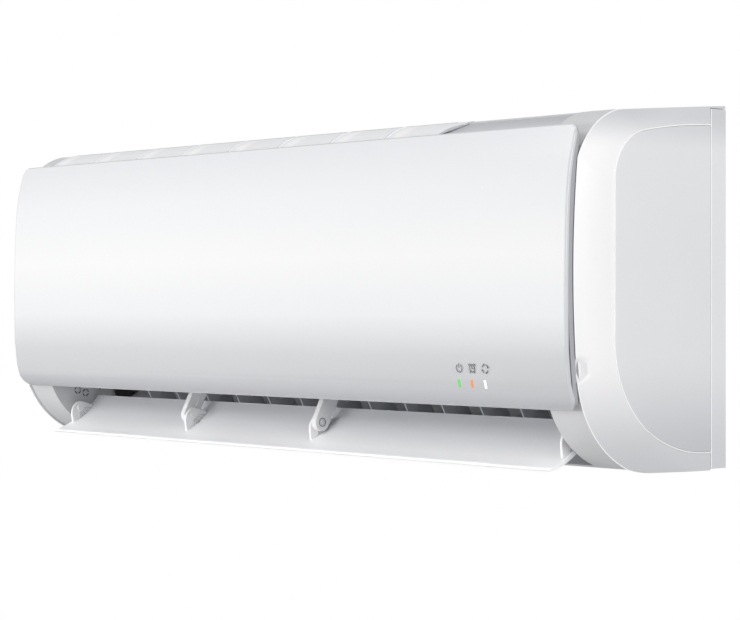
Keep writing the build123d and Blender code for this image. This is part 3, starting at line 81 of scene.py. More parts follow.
class Link:
    """A socket of a finish, so that shader maths reads as plain sums."""

    def __init__(self, finish, socket):
        self.finish = finish
        self.socket = socket

    def sum(self, operation, *values):
        return self.finish.node("ShaderNodeMath", {"operation": operation}, dict(enumerate(values)))

    def __add__(self, other):
        return self.sum("ADD", self, other)

    __radd__ = __add__

    def __sub__(self, other):
        return self.sum("SUBTRACT", self, other)

    def __rsub__(self, other):
        return self.sum("SUBTRACT", other, self)

    def __mul__(self, other):
        return self.sum("MULTIPLY", self, other)

    __rmul__ = __mul__

    def __truediv__(self, other):
        return self.sum("DIVIDE", self, other)

    def __rtruediv__(self, other):
        return self.sum("DIVIDE", other, self)

    def __gt__(self, other):
        return self.sum("GREATER_THAN", self, other)

    def wave(self):
        return self.sum("SINE", self)

    def wrapped(self, length):
        return self.sum("WRAP", self, length, 0.0)

    def size(self):
        return self.sum("ABSOLUTE", self)

    def step(self, start, end):
        """0 before start, 1 after end, smooth between them."""
        settings = {"interpolation_type": "SMOOTHSTEP"}
        sockets = {"Value": self, "From Min": start, "From Max": end}
        return self.finish.node("ShaderNodeMapRange", settings, sockets)


class Finish:
    """One procedural finish: a principled shader and the nodes that vary it over the surface."""

    def __init__(self, name, **constants):
        self.material = bpy.data.materials.new(name)
        self.material.use_nodes = True
        self.tree = self.material.node_tree
        self.shader = next(n for n in self.tree.nodes if n.type == "BSDF_PRINCIPLED")
        self.feed(**constants)

    def node(self, kind, settings=None, sockets=None, out=0):
        """A node of a kind, with its settings made first and its sockets filled after."""
        new = self.tree.nodes.new(kind)
        for key, value in (settings or {}).items():
            if key == "interpolation":
                new.color_ramp.interpolation = value
            elif key == "stops":
                ramp = new.color_ramp
                while len(ramp.elements) < len(value):
                    ramp.elements.new(0.5)
                for element, (place, colour) in zip(ramp.elements, value):
                    element.position = place
                    element.color = colour
            else:
                setattr(new, key, value)
        for key, value in (sockets or {}).items():
            self.join(new.inputs[key], value)
        return Link(self, new.outputs[out])

    def join(self, socket, value):
        """Give a socket a link or a plain value."""
        if isinstance(value, Link):
            self.tree.links.new(value.socket, socket)
        else:
            socket.default_value = value

    def feed(self, **sockets):
        """Fill the shader's sockets, whose names are written small and with underscores."""
        for key, value in sockets.items():
            self.join(self.shader.inputs[key.replace("_", " ").title().replace("Ior", "IOR")], value)
        return self

    def place(self):
        """Where a point lies on the unit, which stays with the piece as it moves."""
        return self.node("ShaderNodeTexCoord", out="Object")

    def axis(self, letter):
        """One coordinate in millimetres, with height counted from the underside."""
        value = self.node("ShaderNodeSeparateXYZ", None, {0: self.place()}, out=letter) * METRE
        return value + SCREW_ROW_HEIGHT if letter == "Z" else value

    def grain(self, size, detail=2.0, stretch=None):
        """Noise whose grains are about size millimetres across."""
        place = self.place()
        if stretch:
            place = self.node("ShaderNodeVectorMath", {"operation": "MULTIPLY"}, {0: place, 1: stretch})
        sockets = {"Vector": place, "Scale": METRE / size, "Detail": detail}
        return self.node("ShaderNodeTexNoise", None, sockets)

    def ramp(self, value, codes, interpolation="LINEAR"):
        """Colours met on the way from 0 to 1, given as hexadecimal codes by their places."""
        stops = [(place, shade(code)) for place, code in codes.items()]
        return self.node("ShaderNodeValToRGB", {"stops": stops, "interpolation": interpolation}, {0: value})

    def mix(self, factor, one, other):
        """One colour at factor 0, the other at 1."""
        return self.node("ShaderNodeMix", {"data_type": "RGBA"}, {0: factor, 6: one, 7: other}, out=2)

    def bump(self, height, strength, distance):
        """Relief up to distance millimetres deep."""
        sockets = {"Height": height, "Strength": strength, "Distance": distance * MM}
        return self.node("ShaderNodeBump", None, sockets)


def darker(colour, share):
    """A colour at a share of its light."""
    return (*(c * share for c in colour[:3]), 1.0)


def moulded(name, colour, roughness=0.38, grain=0.35, depth=0.02, tint=0.03, coat=0.0):
    """Injection-moulded plastic: fine spark-eroded grain, faint flow marks and handling dust."""
    finish = Finish(name, coat_weight=coat, coat_roughness=0.12, specular_ior_level=0.42)
    flow = finish.grain(90.0, 3.0, (0.35, 1.0, 1.0))
    fine = finish.grain(grain, 2.0)
    dust = finish.grain(14.0, 4.0)
    finish.tone = finish.mix(flow.step(0.3, 0.7), colour, darker(colour, 1 - tint))
    rough = roughness + 0.06 * (dust - 0.5) + 0.05 * (fine - 0.5)
    return finish.feed(base_color=finish.tone, roughness=rough, normal=finish.bump(fine, 0.25, depth))


def sheet_metal(name, colour, roughness=0.34, spangle=6.0):
    """Zinc-coated sheet with soft crystal patches and fine rolling lines."""
    finish = Finish(name, metallic=1.0)
    patches = finish.node("ShaderNodeTexVoronoi", {"feature": "F1"},
                          {"Vector": finish.place(), "Scale": METRE / spangle}, out="Color")
    lines = finish.grain(0.5, 2.0, (0.02, 1.0, 1.0))
    patch = finish.node("ShaderNodeSeparateXYZ", None, {0: patches}, out="X")
    tone = finish.mix(patch, colour, darker(colour, 0.78))
    rough = roughness + 0.12 * (patch - 0.5) + 0.08 * (lines - 0.5)
    return finish.feed(base_color=tone, roughness=rough, normal=finish.bump(lines, 0.2, 0.02))


def drawn_tube(name, colour, dull, roughness=0.26):
    """Drawn tube or turned metal with a thin oxide bloom."""
    finish = Finish(name, metallic=1.0)
    bloom = finish.grain(9.0, 4.0)
    marks = finish.grain(0.4, 2.0)
    tone = finish.mix(bloom.step(0.4, 0.75), colour, dull)
    rough = roughness + 0.25 * bloom.step(0.35, 0.8) + 0.05 * marks
    return finish.feed(base_color=tone, roughness=rough, normal=finish.bump(marks, 0.15, 0.01))


def case_plastic(name, top, foot, roughness=0.36):
    """White case plastic with painted shade: greyer over the crown and towards the underside."""
    finish = moulded(name, shade(top), roughness, tint=0.015)
    height = finish.axis("Z")
    # painted shade: the colour turns to foot towards the underside and to a grey over the crown
    underside = height.step(95.0, 5.0)
    crown = 0.85 * height.step(252.0, 284.0)
    tone = finish.mix(underside, finish.tone, shade(foot))
    return finish.feed(base_color=finish.mix(crown, tone, shade("#C6C7CB")))


def panel_plastic():
    """Polished white panel with painted shade: soft grey towards its foot and its top, darker on its rolled
    side and top edges.
    """
    finish = Finish("panel_polish", coat_weight=0.2, coat_roughness=0.12, specular_ior_level=0.4)
    height = (finish.axis("Z") - PANEL_FOOT_Z) / (PANEL_TOP_Z - PANEL_FOOT_Z)
    # painted shade up the panel, greyest at the foot
    painted_shade_greys = {0.0: "#BFC0C4", 0.06: "#C9CACD", 0.18: "#D3D4D6", 0.33: "#ECEDEF",
             0.55: "#F4F4F4", 0.8: "#EDEEF0", 1.0: "#E3E4E7"}
    tone = finish.ramp(height, painted_shade_greys)
    # painted shade on the rolled side edges and the top edge
    painted_side_edge_shade = finish.axis("X").size().step(HALF - 2.6, HALF - 0.9)
    tone = finish.mix(0.85 * painted_side_edge_shade, tone, shade("#C4C6CA"))
    painted_top_edge_shade = finish.axis("Z").step(PANEL_TOP_Z - 1.3, PANEL_TOP_Z - 0.3)
    tone = finish.mix(0.6 * painted_top_edge_shade, tone, shade("#A4A6AB"))
    fine = finish.grain(0.6, 2.0)
    haze = finish.grain(60.0, 3.0)
    wave = finish.grain(45.0, 1.0)
    rough = 0.2 + 0.05 * (haze - 0.5) + 0.04 * (fine - 0.5)
    return finish.feed(base_color=tone, roughness=rough, normal=finish.bump(wave, 0.08, 0.05))


def shoulder_plastic():
    """White strip with a painted highlight just beside each fine rib."""
    finish = Finish("shoulder_plastic", specular_ior_level=0.4)
    phase = (finish.axis("X") - RIB_START).wrapped(RIB_PITCH)
    # painted highlight on the strip to the right of each rib
    painted_highlight = phase.step(4.0, 10.0) * (1 - phase.step(16.0, 26.0))
    fine = finish.grain(0.5, 2.0)
    tone = finish.mix(0.85 * painted_highlight + 0.1 * fine, shade("#F0F1F4"), shade("#FFFFFF"))
    rough = 0.36 + 0.08 * (fine - 0.5)
    return finish.feed(base_color=tone, roughness=rough, normal=finish.bump(fine, 0.2, 0.01))


def recess_plastic():
    """Recess floor with painted shade under its top edge."""
    finish = Finish("recess_plastic", specular_ior_level=0.35)
    height = finish.axis("Z")
    fine = finish.grain(0.5, 2.0)
    painted_shade_under_edge = height.step(268.0, 281.0)
    tone = finish.mix(painted_shade_under_edge, shade("#E2E4E8"), shade("#B9BBC0"))
    rough = 0.42 + 0.08 * (fine - 0.5)
    return finish.feed(base_color=tone, roughness=rough, normal=finish.bump(fine, 0.2, 0.01))


def lamp_glow():
    """Lit lenses: green, orange and white from left to right."""
    finish = Finish("lamp_glow", roughness=0.25, emission_strength=0.42)
    pitch = LAMP_X[1] - LAMP_X[0]
    along = (finish.axis("X") - (LAMP_X[0] - pitch / 2)) / (3 * pitch)
    colour = finish.ramp(along, {0.0: "#4CC63C", 0.334: "#E0801E", 0.667: "#FDFDFC"}, "CONSTANT")
    cells = finish.grain(1.2, 2.0)
    soft = finish.mix(0.1 * cells, colour, shade("#FFFFFF"))
    return finish.feed(base_color=soft, emission_color=soft)


def flap_plastic():
    """Smooth white flap with painted shade that deepens towards its rear edge."""
    finish = Finish("flap_plastic", coat_weight=0.1, coat_roughness=0.2, specular_ior_level=0.4)
    start = FLAP_FRONT[0] - 2
    depth = (finish.axis("Y") - start) / (FLAP_REAR[0] - start)
    # painted shade, deepening towards the rear edge under the panel's foot
    tone = finish.ramp(depth, {0.0: "#EDEEEF", 0.3: "#F6F6F7", 0.7: "#ECEDEF", 1.0: "#CFD0D4"})
    fine = finish.grain(0.4, 2.0)
    rough = 0.36 + 0.08 * (fine - 0.5)
    return finish.feed(base_color=tone, roughness=rough, normal=finish.bump(fine, 0.15, 0.01))


def coil_fins():
    """Bare aluminium fins: fine upright lines, each fin a little different."""
    finish = Finish("coil_fins", metallic=1.0)
    pitch = 1.6
    fin = (finish.axis("X") * (2 * pi / pitch)).wave() * 0.5 + 0.5
    each = finish.grain(pitch, 1.0, (1.0, 0.02, 0.02))
    tone = finish.mix(fin, shade("#8E949B"), shade("#D6DADE"))
    tone = finish.mix(0.5 * each.step(0.35, 0.65), tone, shade("#A9AEB5"))
    rough = 0.32 + 0.2 * each
    return finish.feed(base_color=tone, roughness=rough, normal=finish.bump(fin, 0.9, 0.5))


def woven_net():
    """Fine net: holes between threads, let through by alpha."""
    finish = Finish("woven_net", roughness=0.7)
    mesh = 1.1
    thread_share = 0.42
    over = (finish.axis("X").wrapped(mesh) / mesh) > thread_share
    height = finish.axis("Z") + finish.axis("Y")
    across = (height.wrapped(mesh) / mesh) > thread_share
    thread = 1 - over * across
    dust = finish.grain(8.0, 3.0)
    tone = finish.mix(dust.step(0.35, 0.7), shade("#C9CCD0"), shade("#DADCDF"))
    return finish.feed(base_color=tone, alpha=thread, normal=finish.bump(thread, 0.5, 0.2))


def circuit(name):
    """Green lacquered board with copper tracks showing through."""
    finish = Finish(name, coat_weight=0.5, coat_roughness=0.1)
    cells_per_metre = 260.0
    tracks = finish.node("ShaderNodeTexVoronoi", {"distance": "MANHATTAN", "feature": "F1"},
                         {"Vector": finish.place(), "Scale": cells_per_metre}, out="Distance")
    raised = tracks.step(0.34, 0.36)
    tone = finish.mix(raised, shade("#1D5B36"), shade("#2F7A4B"))
    return finish.feed(base_color=tone, roughness=0.35 + 0.2 * tracks, normal=finish.bump(raised, 0.4, 0.05))


# one finish for each material slot, and four for pieces that look unlike the rest of their slot
FINISHES = {
    # the second colour of each case finish is its painted shade towards the underside
    "case_white": case_plastic("case_plastic", "#EEEEEF", "#C9CACD"),
    "panel_white": panel_plastic(),
    "insert_grey": case_plastic("insert_plastic", "#DDDEE0", "#C1C2C6", 0.5),
    "flap_white": flap_plastic(),
    "inner_grey": moulded("duct_plastic", shade("#E0E2E6"), 0.5),
    "vane_grey": moulded("vane_plastic", shade("#BFC2C7"), 0.45),
    "fan_dark": moulded("rotor_plastic", shade("#A3A6AC"), 0.45),
    "bush_black": moulded("bush_rubber", shade("#1C1C1E"), 0.75, 0.8, 0.05),
    "shaft_steel": drawn_tube("ground_steel", shade("#C9CBCE"), shade("#9A9DA1"), 0.22),
    "motor_white": moulded("motor_resin", shade("#D8D7D2"), 0.6, 0.9, 0.06),
    "zinc_steel": sheet_metal("zinc_sheet", shade("#BFC2C6")),
    "fin_alu": coil_fins(),
    "copper": drawn_tube("copper_tube", shade("#C57C56"), shade("#8C5238")),
    "union_brass": drawn_tube("turned_brass", shade("#D2AE62"), shade("#A58545")),
    "filter_white": moulded("filter_plastic", shade("#D5D8DB"), 0.5),
    "mesh_grey": woven_net(),
    "board_green": circuit("lacquered_board"),
    "terminal_black": moulded("terminal_resin", shade("#262729"), 0.5),
    "lamp_clear": lamp_glow(),
    "button_white": moulded("button_plastic", shade("#DADBDD"), 0.4),
    "drain_black": moulded("drain_plastic", shade("#2B2C2E"), 0.55),
    "band": case_plastic("band_plastic", "#DFE0E2", "#CDCED2"),
    "ear": moulded("ear_plastic", shade("#F6F6F7"), 0.4),
    # grey backing: painted shade on the side of the panel behind its skin
    "backing": moulded("backing_painted_shade", shade("#A6A8AD"), 0.5),
    "shoulder": shoulder_plastic(),
}

CASE = FINISHES["case_white"]
CLEAN_WHITE = FINISHES["ear"]
# glossier and brighter white than the case, for beads on rounded edges: the brightness is a painted highlight
EDGE_GLOSS_AND_HIGHLIGHT = moulded("edge_gloss_and_painted_highlight", shade("#FCFCFC"), 0.22, coat=0.3)
SHADE_GREY = moulded("shadow_line", shade("#8B8D92"), 0.5)
# grey for the painted shadow lines beside the shoulder ribs, and for the line along the ridge
LINE_GREY = moulded("line_grey", shade("#B4B7BC"), 0.5)
# ear ribs greyer than the ear, so that they show: painted shade
RIB_GREY = moulded("ear_rib", shade("#D6D8DB"), 0.45)
RECESS_GREY = recess_plastic()
DEEP_BLACK = moulded("deep_black", shade("#141416"), 0.6)
INK_GREY = moulded("symbol_ink", shade("#3F4146"), 0.5)

finish_of = {s["node"]: s["material_slot"] for s in frame["record"]["subparts"]}
finish_of.update(flap_pins="ear", panel_backing="backing", rear_chassis="band")
for node, thing in frame["nodes"].items():
    thing.data.materials.clear()
    thing.data.materials.append(FINISHES[finish_of[node]].material)


# ---------------------------------------------------------------- shapes
def spot(x, y, z):
    """Place on the unit in metres, from millimetres with z counted from the underside."""
    return Vector((x, y, z - SCREW_ROW_HEIGHT)) * MM


def new_piece(name, points, faces, finish, body, sharp=35.0):
    """A closed mesh that rides on a body. Faces steeper to each other than sharp stay crisp."""
    mesh = bpy.data.meshes.new(name)
    mesh.from_pydata([spot(*p) for p in points], [], faces)
    work = bmesh.new()
    work.from_mesh(mesh)
    bmesh.ops.remove_doubles(work, verts=work.verts, dist=1e-7)
    bmesh.ops.dissolve_degenerate(work, edges=work.edges, dist=1e-7)
    bmesh.ops.recalc_face_normals(work, faces=work.faces)
    work.to_mesh(mesh)
    work.free()
    mesh.polygons.foreach_set("use_smooth", [True] * len(mesh.polygons))
    mesh.set_sharp_from_angle(angle=radians(sharp))
    mesh.materials.append(finish.material)
    piece = bpy.data.objects.new(name, mesh)
    bpy.context.scene.collection.objects.link(piece)
    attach(piece, body)
    return piece


def arc(first, middle, last, count):
    """Points on the arc through three points, ends included."""
    (ax, ay), (bx, by), (cx, cy) = first, middle, last
    d = 2 * (ax * (by - cy) + bx * (cy - ay) + cx * (ay - by))
    a, b, c = ax * ax + ay * ay, bx * bx + by * by, cx * cx + cy * cy
    ox = (a * (by - cy) + b * (cy - ay) + c * (ay - by)) / d
    oy = (a * (cx - bx) + b * (ax - cx) + c * (bx - ax)) / d
    radius = hypot(ax - ox, ay - oy)
    start = atan2(ay - oy, ax - ox)
    through = (atan2(by - oy, bx - ox) - start) % (2 * pi)
    sweep = (atan2(cy - oy, cx - ox) - start) % (2 * pi)
    if through > sweep:
        sweep -= 2 * pi
    turns = [start + sweep * n / (count - 1) for n in range(count)]
    return [(ox + radius * cos(t), oy + radius * sin(t)) for t in turns]


def straight(first, last, count):
    """Evenly spaced points on a line, ends included."""
    return [tuple(a + (b - a) * n / (count - 1) for a, b in zip(first, last))
            for n in range(count)]


def between(one, other, share):
    """The point at a share of the way from one to the other."""
    return tuple(a + (b - a) * share for a, b in zip(one, other))


def clamped(value):
    return min(max(value, 0.0), 1.0)


def curve_through(knots):
    """Natural cubic through (z, y) knots, as a function of z."""
    n = len(knots) - 1
    z = [k[0] for k in knots]
    y = [k[1] for k in knots]
    h = [z[i + 1] - z[i] for i in range(n)]
    low, mid, high, right = [0.0] * (n + 1), [1.0] * (n + 1), [0.0] * (n + 1), [0.0] * (n + 1)
    for i in range(1, n):
        low[i], mid[i], high[i] = h[i - 1], 2 * (h[i - 1] + h[i]), h[i]
        right[i] = 6 * ((y[i + 1] - y[i]) / h[i] - (y[i] - y[i - 1]) / h[i - 1])
    for i in range(1, n + 1):
        share = low[i] / mid[i - 1]
        mid[i] -= share * high[i - 1]
        right[i] -= share * right[i - 1]
    bend = [0.0] * (n + 1)
    for i in range(n - 1, 0, -1):
        bend[i] = (right[i] - high[i] * bend[i + 1]) / mid[i]

    def value(at):
        i = max(k for k in range(n) if z[k] <= at or k == 0)
        a, b = (z[i + 1] - at) / h[i], (at - z[i]) / h[i]
        return (a * y[i] + b * y[i + 1]
                + ((a ** 3 - a) * bend[i] + (b ** 3 - b) * bend[i + 1]) * h[i] ** 2 / 6)
    return value


PANEL_TURN = (-168.8, 66.5)  # (y, z) where the skin begins to turn in to its foot
panel_front = curve_through([(66.5, -168.8), (78.0, -171.7), (98.0, -172.9), (140.0, -173.4), (190.0, -172.5),
                             (240.0, -168.5), (271.5, -161.0)])


# ---------------------------------------------------------------- front panel
def panel_skin():
    """The panel's moulded skin: rounded corners, rolled edges, turned-in foot and lamp windows."""
    edge = 1.6
    limit = HALF - 0.05
    fine = [0.0, 0.06, 0.2, 0.42, 0.75, 1.15, edge, 2.4, 3.6, 5.2, 7.2, 9.0, 10.0, 12.0]
    heights = [PANEL_TOP_Z - d for d in fine]
    heights += [PANEL_TOP_Z - fine[-1] - 6.5 * n for n in range(1, 26)]
    heights = [z for z in heights if z > LAMP_Z[1] + 2] + [LAMP_Z[1], 67.8]
    front = [(panel_front(z), z) for z in heights]
    back = [(y + PANEL_SKIN, z) for y, z in front]
    foot = arc(PANEL_TURN, (-165.1, 57.2), (PANEL_FOOT_Y, PANEL_FOOT_Z), 22)
    foot_back = arc((-165.8, 66.5), (-162.6, 58.9), (PANEL_FOOT_Y, PANEL_FOOT_Z + 2.4), 22)
    nearest = min(range(len(foot)), key=lambda n: abs(foot[n][1] - LAMP_Z[0]))
    foot[nearest] = (foot[nearest][0], LAMP_Z[0])
    front += foot
    back += foot_back
    inner = [n * 25.0 for n in range(-14, 15)]
    for x in LAMP_X:
        inner = [v for v in inner if abs(v - x) > LAMP_WIDTH] + [x - LAMP_WIDTH / 2, x + LAMP_WIDTH / 2]
    inner = sorted(v for v in inner if abs(v) < HALF - 20)

    def half_width(z):
        away = max(z - (PANEL_TOP_Z - PANEL_CORNER), (PANEL_FOOT_Z + PANEL_CORNER) - z, 0.0)
        return limit - PANEL_CORNER + sqrt(max(PANEL_CORNER ** 2 - away ** 2, 0.0))

    def drop(x, z):
        """How far the rolled edge falls back."""
        dx = abs(x) - (limit - PANEL_CORNER)
        top = z - (PANEL_TOP_Z - PANEL_CORNER)
        below = (PANEL_FOOT_Z + PANEL_CORNER) - z
        share = 1.0
        if dx > 0 and top > 0:
            depth = PANEL_CORNER - hypot(dx, top)
        elif dx > 0 and below > 0:
            depth = PANEL_CORNER - hypot(dx, below)
            share = (dx / max(hypot(dx, below), 1e-6)) ** 2
        else:
            depth = min(limit - abs(x), PANEL_TOP_Z - z)
        depth = max(depth, 0.0)
        if depth >= edge:
            return 0.0
        return share * (edge - sqrt(edge ** 2 - (edge - depth) ** 2))

    def columns(z):
        w = half_width(z)
        return [-w + d for d in fine] + inner + [w - d for d in reversed(fine)]

    faces, windows = [], []
    points = [(x, y + drop(x, z), z) for y, z in front for x in columns(z)]
    points += [(x, y, z) for (y, z), (_, level) in zip(back, front) for x in columns(level)]
    wide = 2 * len(fine) + len(inner)
    rows = len(front)
    shift = rows * wide
    for r in range(rows - 1):
        for c in range(wide - 1):
            a, b = r * wide + c, (r + 1) * wide + c
            x, z = points[a][0], points[a][2]
            lamp = any(abs(x - (p - LAMP_WIDTH / 2)) < 0.01 for p in LAMP_X)
            if lamp and LAMP_Z[0] + 0.01 < z < LAMP_Z[1] + 0.01:
                windows.append((r, c))
                continue
            faces.append((a, a + 1, b + 1, b))
            faces.append((shift + a, shift + b, shift + b + 1, shift + a + 1))
    for r in range(rows - 1):
        for c in (0, wide - 1):
            a, b = r * wide + c, (r + 1) * wide + c
            faces.append((a, b, shift + b, shift + a))
    for c in range(wide - 1):
        for r in (0, rows - 1):
            a = r * wide + c
            faces.append((a, a + 1, shift + a + 1, shift + a))
    for r, c in windows:
        a, b = r * wide + c, (r + 1) * wide + c
        for near, far, cell in ((a, a + 1, (r - 1, c)), (b, b + 1, (r + 1, c)), (a, b, (r, c - 1)),
                                (a + 1, b + 1, (r, c + 1))):
            if cell not in windows:
                faces.append((near, far, shift + far, shift + near))
    piece = new_piece("panel_skin", points, faces, FINISHES["panel_white"], "panel", 40.0)
    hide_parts("front_panel")


panel_skin()


# ---------------------------------------------------------------- swept forms
def lofted(name, sections, finish, body, sharp=35.0):
    """Closed skin through equal loops of places, with both ends shut."""
    wide = len(sections[0])
    points = [p for loop in sections for p in loop]
    faces = []
    for n in range(len(sections) - 1):
        for k in range(wide):
            a, b = n * wide + k, n * wide + (k + 1) % wide
            faces.append((a, b, b + wide, a + wide))
    last = (len(sections) - 1) * wide
    faces.append(tuple(range(wide)))
    faces.append(tuple(range(last, last + wide)))
    return new_piece(name, points, faces, finish, body, sharp)


def bead(name, path, radius, finish, body, sides=8):
    """Thin round bead that follows a path of places."""
    spots = [Vector(p) for p in path]
    normal = (spots[1] - spots[0]).orthogonal().normalized()
    sections = []
    for n, here in enumerate(spots):
        along = (spots[min(n + 1, len(spots) - 1)] - spots[max(n - 1, 0)]).normalized()
        normal = (normal - along * normal.dot(along)).normalized()
        across = along.cross(normal)
        turns = [2 * pi * k / sides for k in range(sides)]
        sections.append([tuple(here + radius * (cos(t) * normal + sin(t) * across)) for t in turns])
    return lofted(name, sections, finish, body)


def inward(points):
    """Unit normals of a (y, z) path that runs from the deck over the front to the floor."""
    normals = []
    for n in range(len(points)):
        before, after = points[max(n - 1, 0)], points[min(n + 1, len(points) - 1)]
        dy, dz = after[0] - before[0], after[1] - before[1]
        length = hypot(dy, dz)
        normals.append((-dz / length, dy / length))
    return normals


def pushed(point, normal, depth):
    """A point moved along its normal."""
    return (point[0] + depth * normal[0], point[1] + depth * normal[1])


# ---------------------------------------------------------------- end caps
CAP_FRONT_Y = -160.4
CAP_MID_Y = -165.0
CAP_FLARE_Y = (-112.0, -34.0)
CAP_CENTRE = (-50.0, 145.0)  # the outlines' points are paired by their turn round it
CAP_SWELL = 1.25             # how far the side bulges between crease and insert
CAP_WALL = 1.6
DECK_RISE = 1.35             # from the seam back to the wall
SCOOP_RADIUS = 14.0
SCOOP_CENTRE = (CREASE_X + 8.6, -166.6, 81.0)


def cap_side():
    """Side outline of an end cap, from the seam over the ridge, the front and the belly to its foot."""
    points = straight((SEAM_Y, CREST_Z), RIDGE, 20)
    points += arc(RIDGE, (-142.6, 270.2), (CAP_FRONT_Y, 245.0), 26)[1:]
    points += arc((CAP_FRONT_Y, 245.0), (CAP_MID_Y, 157.75), (CAP_FRONT_Y, 68.5), 150)[1:]
    belly = arc((CAP_FRONT_Y, 68.5), (-137.6, 25.0), (-96.9, 0.3), 34)[1:]
    points += [p for p in belly if p[0] < -104.0]
    points += arc(points[-1], (-93.0, 0.7), (-78.0, -0.8), 9)[1:]
    return points + straight((-78.0, -0.8), (SEAM_Y, -1.2), 14)[1:]


def insert_side():
    """Side outline of the D-shaped insert, from its top rear corner to its bottom rear corner."""
    points = arc((SEAM_Y, 275.8), (-60.0, 273.2), (-95.0, 268.3), 20)
    points += arc((-95.0, 268.3), (-118.8, 256.6), (-130.3, 231.0), 22)[1:]
    points += straight((-130.3, 231.0), (-130.5, 112.0), 24)[1:]
    points += arc((-130.5, 112.0), (-120.0, 63.5), (-95.0, 34.6), 24)[1:]
    return points + arc((-95.0, 34.6), (-60.0, 18.6), (SEAM_Y, 14.1), 22)[1:]


def shares(points):
    """How far round its centre each point lies, from 0 at the first to 1 at the last."""
    turns = [atan2(z - CAP_CENTRE[1], CAP_CENTRE[0] - y) for y, z in points]
    return [(turns[0] - t) / (turns[0] - turns[-1]) for t in turns]


def spread(points, wanted):
    """Points of a path at the wanted shares, with their inward normals."""
    own, normals, result = shares(points), inward(points), []
    for share in wanted:
        n = min(max(k for k in range(len(own)) if own[k] <= share + 1e-9), len(own) - 2)
        t = (share - own[n]) / (own[n + 1] - own[n])
        result.append((between(points[n], points[n + 1], t), between(normals[n], normals[n + 1], t)))
    return result


def scooped(x, y, z, wall):
    """Push a place out of the finger scoop and the wall behind it."""
    away = Vector((x, y, z)) - Vector(SCOOP_CENTRE)
    reach = SCOOP_RADIUS + wall
    if away.length >= reach:
        return (x, y, z)
    return tuple(Vector(SCOOP_CENTRE) + away * (reach / away.length))


def end_cap(side):
    """One end cap with its rolled crease, finger scoop and the rim round its insert."""
    word = "right" if side > 0 else "left"
    outer = cap_side()
    normals = inward(outer)
    rims = spread(insert_side(), shares(outer))
    sections, crease, rim = [], [], []
    for o, n, (i, m) in zip(outer, normals, rims):
        share = clamped((o[0] - CAP_FLARE_Y[0]) / (CAP_FLARE_Y[1] - CAP_FLARE_Y[0]))
        flare = CREASE_X + 0.12 + (CAP_OUT - 0.3 - CREASE_X) * share * share * (3 - 2 * share)
        edge = pushed(i, m, -1.0)
        loop = [(HALF + 0.05, *pushed(o, n, 2.2)), (HALF + 0.05, *pushed(o, n, 0.5)),
                (HALF + 0.18, *pushed(o, n, 0.14)), (CREASE_X, *o)]
        for k in range(9):
            t = k / 8
            swell = 4 * CAP_SWELL * t * (1 - t)
            y, z = between(o, edge, t)
            loop.append((min(flare + (CAP_OUT - 0.15 - flare) * t + swell, CAP_OUT - 0.15), y, z))
        lip = ((0.0, 0.7), (0.0, 0.35), (0.1, 0.25), (1.9, 0.25), (2.6, 0.4))
        loop += [(CAP_OUT - sunk, *pushed(i, m, -out)) for sunk, out in lip]
        walls = [CAP_WALL] + [0.0] * (len(loop) - 2) + [CAP_WALL]
        loop = [scooped(*p, wall) for p, wall in zip(loop, walls)]
        sections.append([(side * x, y, z) for x, y, z in loop])
        crease.append((side * loop[3][0], loop[3][1], loop[3][2]))
        rim.append((side * (CAP_OUT + 0.05), *pushed(i, m, -0.55)))
    cap = lofted("cap_skin_" + word, sections, FINISHES["case_white"], "housing", 28.0)
    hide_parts("end_cap_" + word)
    # crease and rim beads: rounded edges with a painted highlight in their brighter white
    bead("cap_crease_" + word, crease, 0.42, EDGE_GLOSS_AND_HIGHLIGHT, "housing")
    bead("insert_rim_" + word, rim, 0.5, EDGE_GLOSS_AND_HIGHLIGHT, "housing")


def deck_tail(side):
    """Strip of the cap that runs back over the rear band to the wall, and the band's own edge."""
    word = "right" if side > 0 else "left"
    sections = []
    bend = 1.2
    for y in (SEAM_Y - 0.1, -12.0, -6.0, -0.4):
        top = CREST_Z + DECK_RISE * (y - SEAM_Y) / -SEAM_Y
        corner = [(CAP_OUT - bend + bend * sin(t), top - bend + bend * cos(t))
                  for t in (0, 0.4, 0.8, 1.2, pi / 2)]
        outline = [(HALF + 0.05, BAND_TOP_Z + 0.5), (HALF + 0.05, top), *corner, (CAP_OUT, BAND_TOP_Z + 0.5)]
        sections.append([(side * x, y, z) for x, z in outline])
    lofted("deck_tail_" + word, sections, FINISHES["case_white"], "housing")
    # the band's edge bead: a rounded edge with a painted highlight
    x = side * (CAP_OUT - 0.2)
    path = [(x, SEAM_Y + 0.9, z) for z in (0.6, 140.0, BAND_TOP_Z - 0.4)]
    bead("band_edge_" + word, path, 0.5, EDGE_GLOSS_AND_HIGHLIGHT, "housing")


def side_insert(side):
    """Thin D-shaped plate let into the end cap."""
    word = "right" if side > 0 else "left"
    outline = insert_side()
    steps = ((1.9, 0.05), (0.35, 0.05), (0.1, 0.2), (0.02, 0.5))
    loops = [[(side * (CAP_OUT - sunk), *pushed(p, n, depth)) for p, n in zip(outline, inward(outline))]
             for sunk, depth in steps]
    piece = lofted("insert_plate_" + word, loops, FINISHES["insert_grey"], "housing")
    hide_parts("side_insert_" + word)


for side in (-1, 1):
    end_cap(side)
    side_insert(side)
    deck_tail(side)


# ---------------------------------------------------------------- shoulder and recess of the deck
RECESS_FOOT_Z = 261.4
RECESS_TOP_Z = 281.6
RECESS_LEFT = 206.5
RECESS_ROUND = 21.0          # how far the left end leans to the right at its top
RECESS_RIGHT = 351.9
SHOULDER_FOOT_Z = 268.0      # both feet lie behind the panel's top edge
CORNER_FOOT_Z = 254.0
RIB_X = [RIB_START + RIB_PITCH * n for n in range(1, 8)]


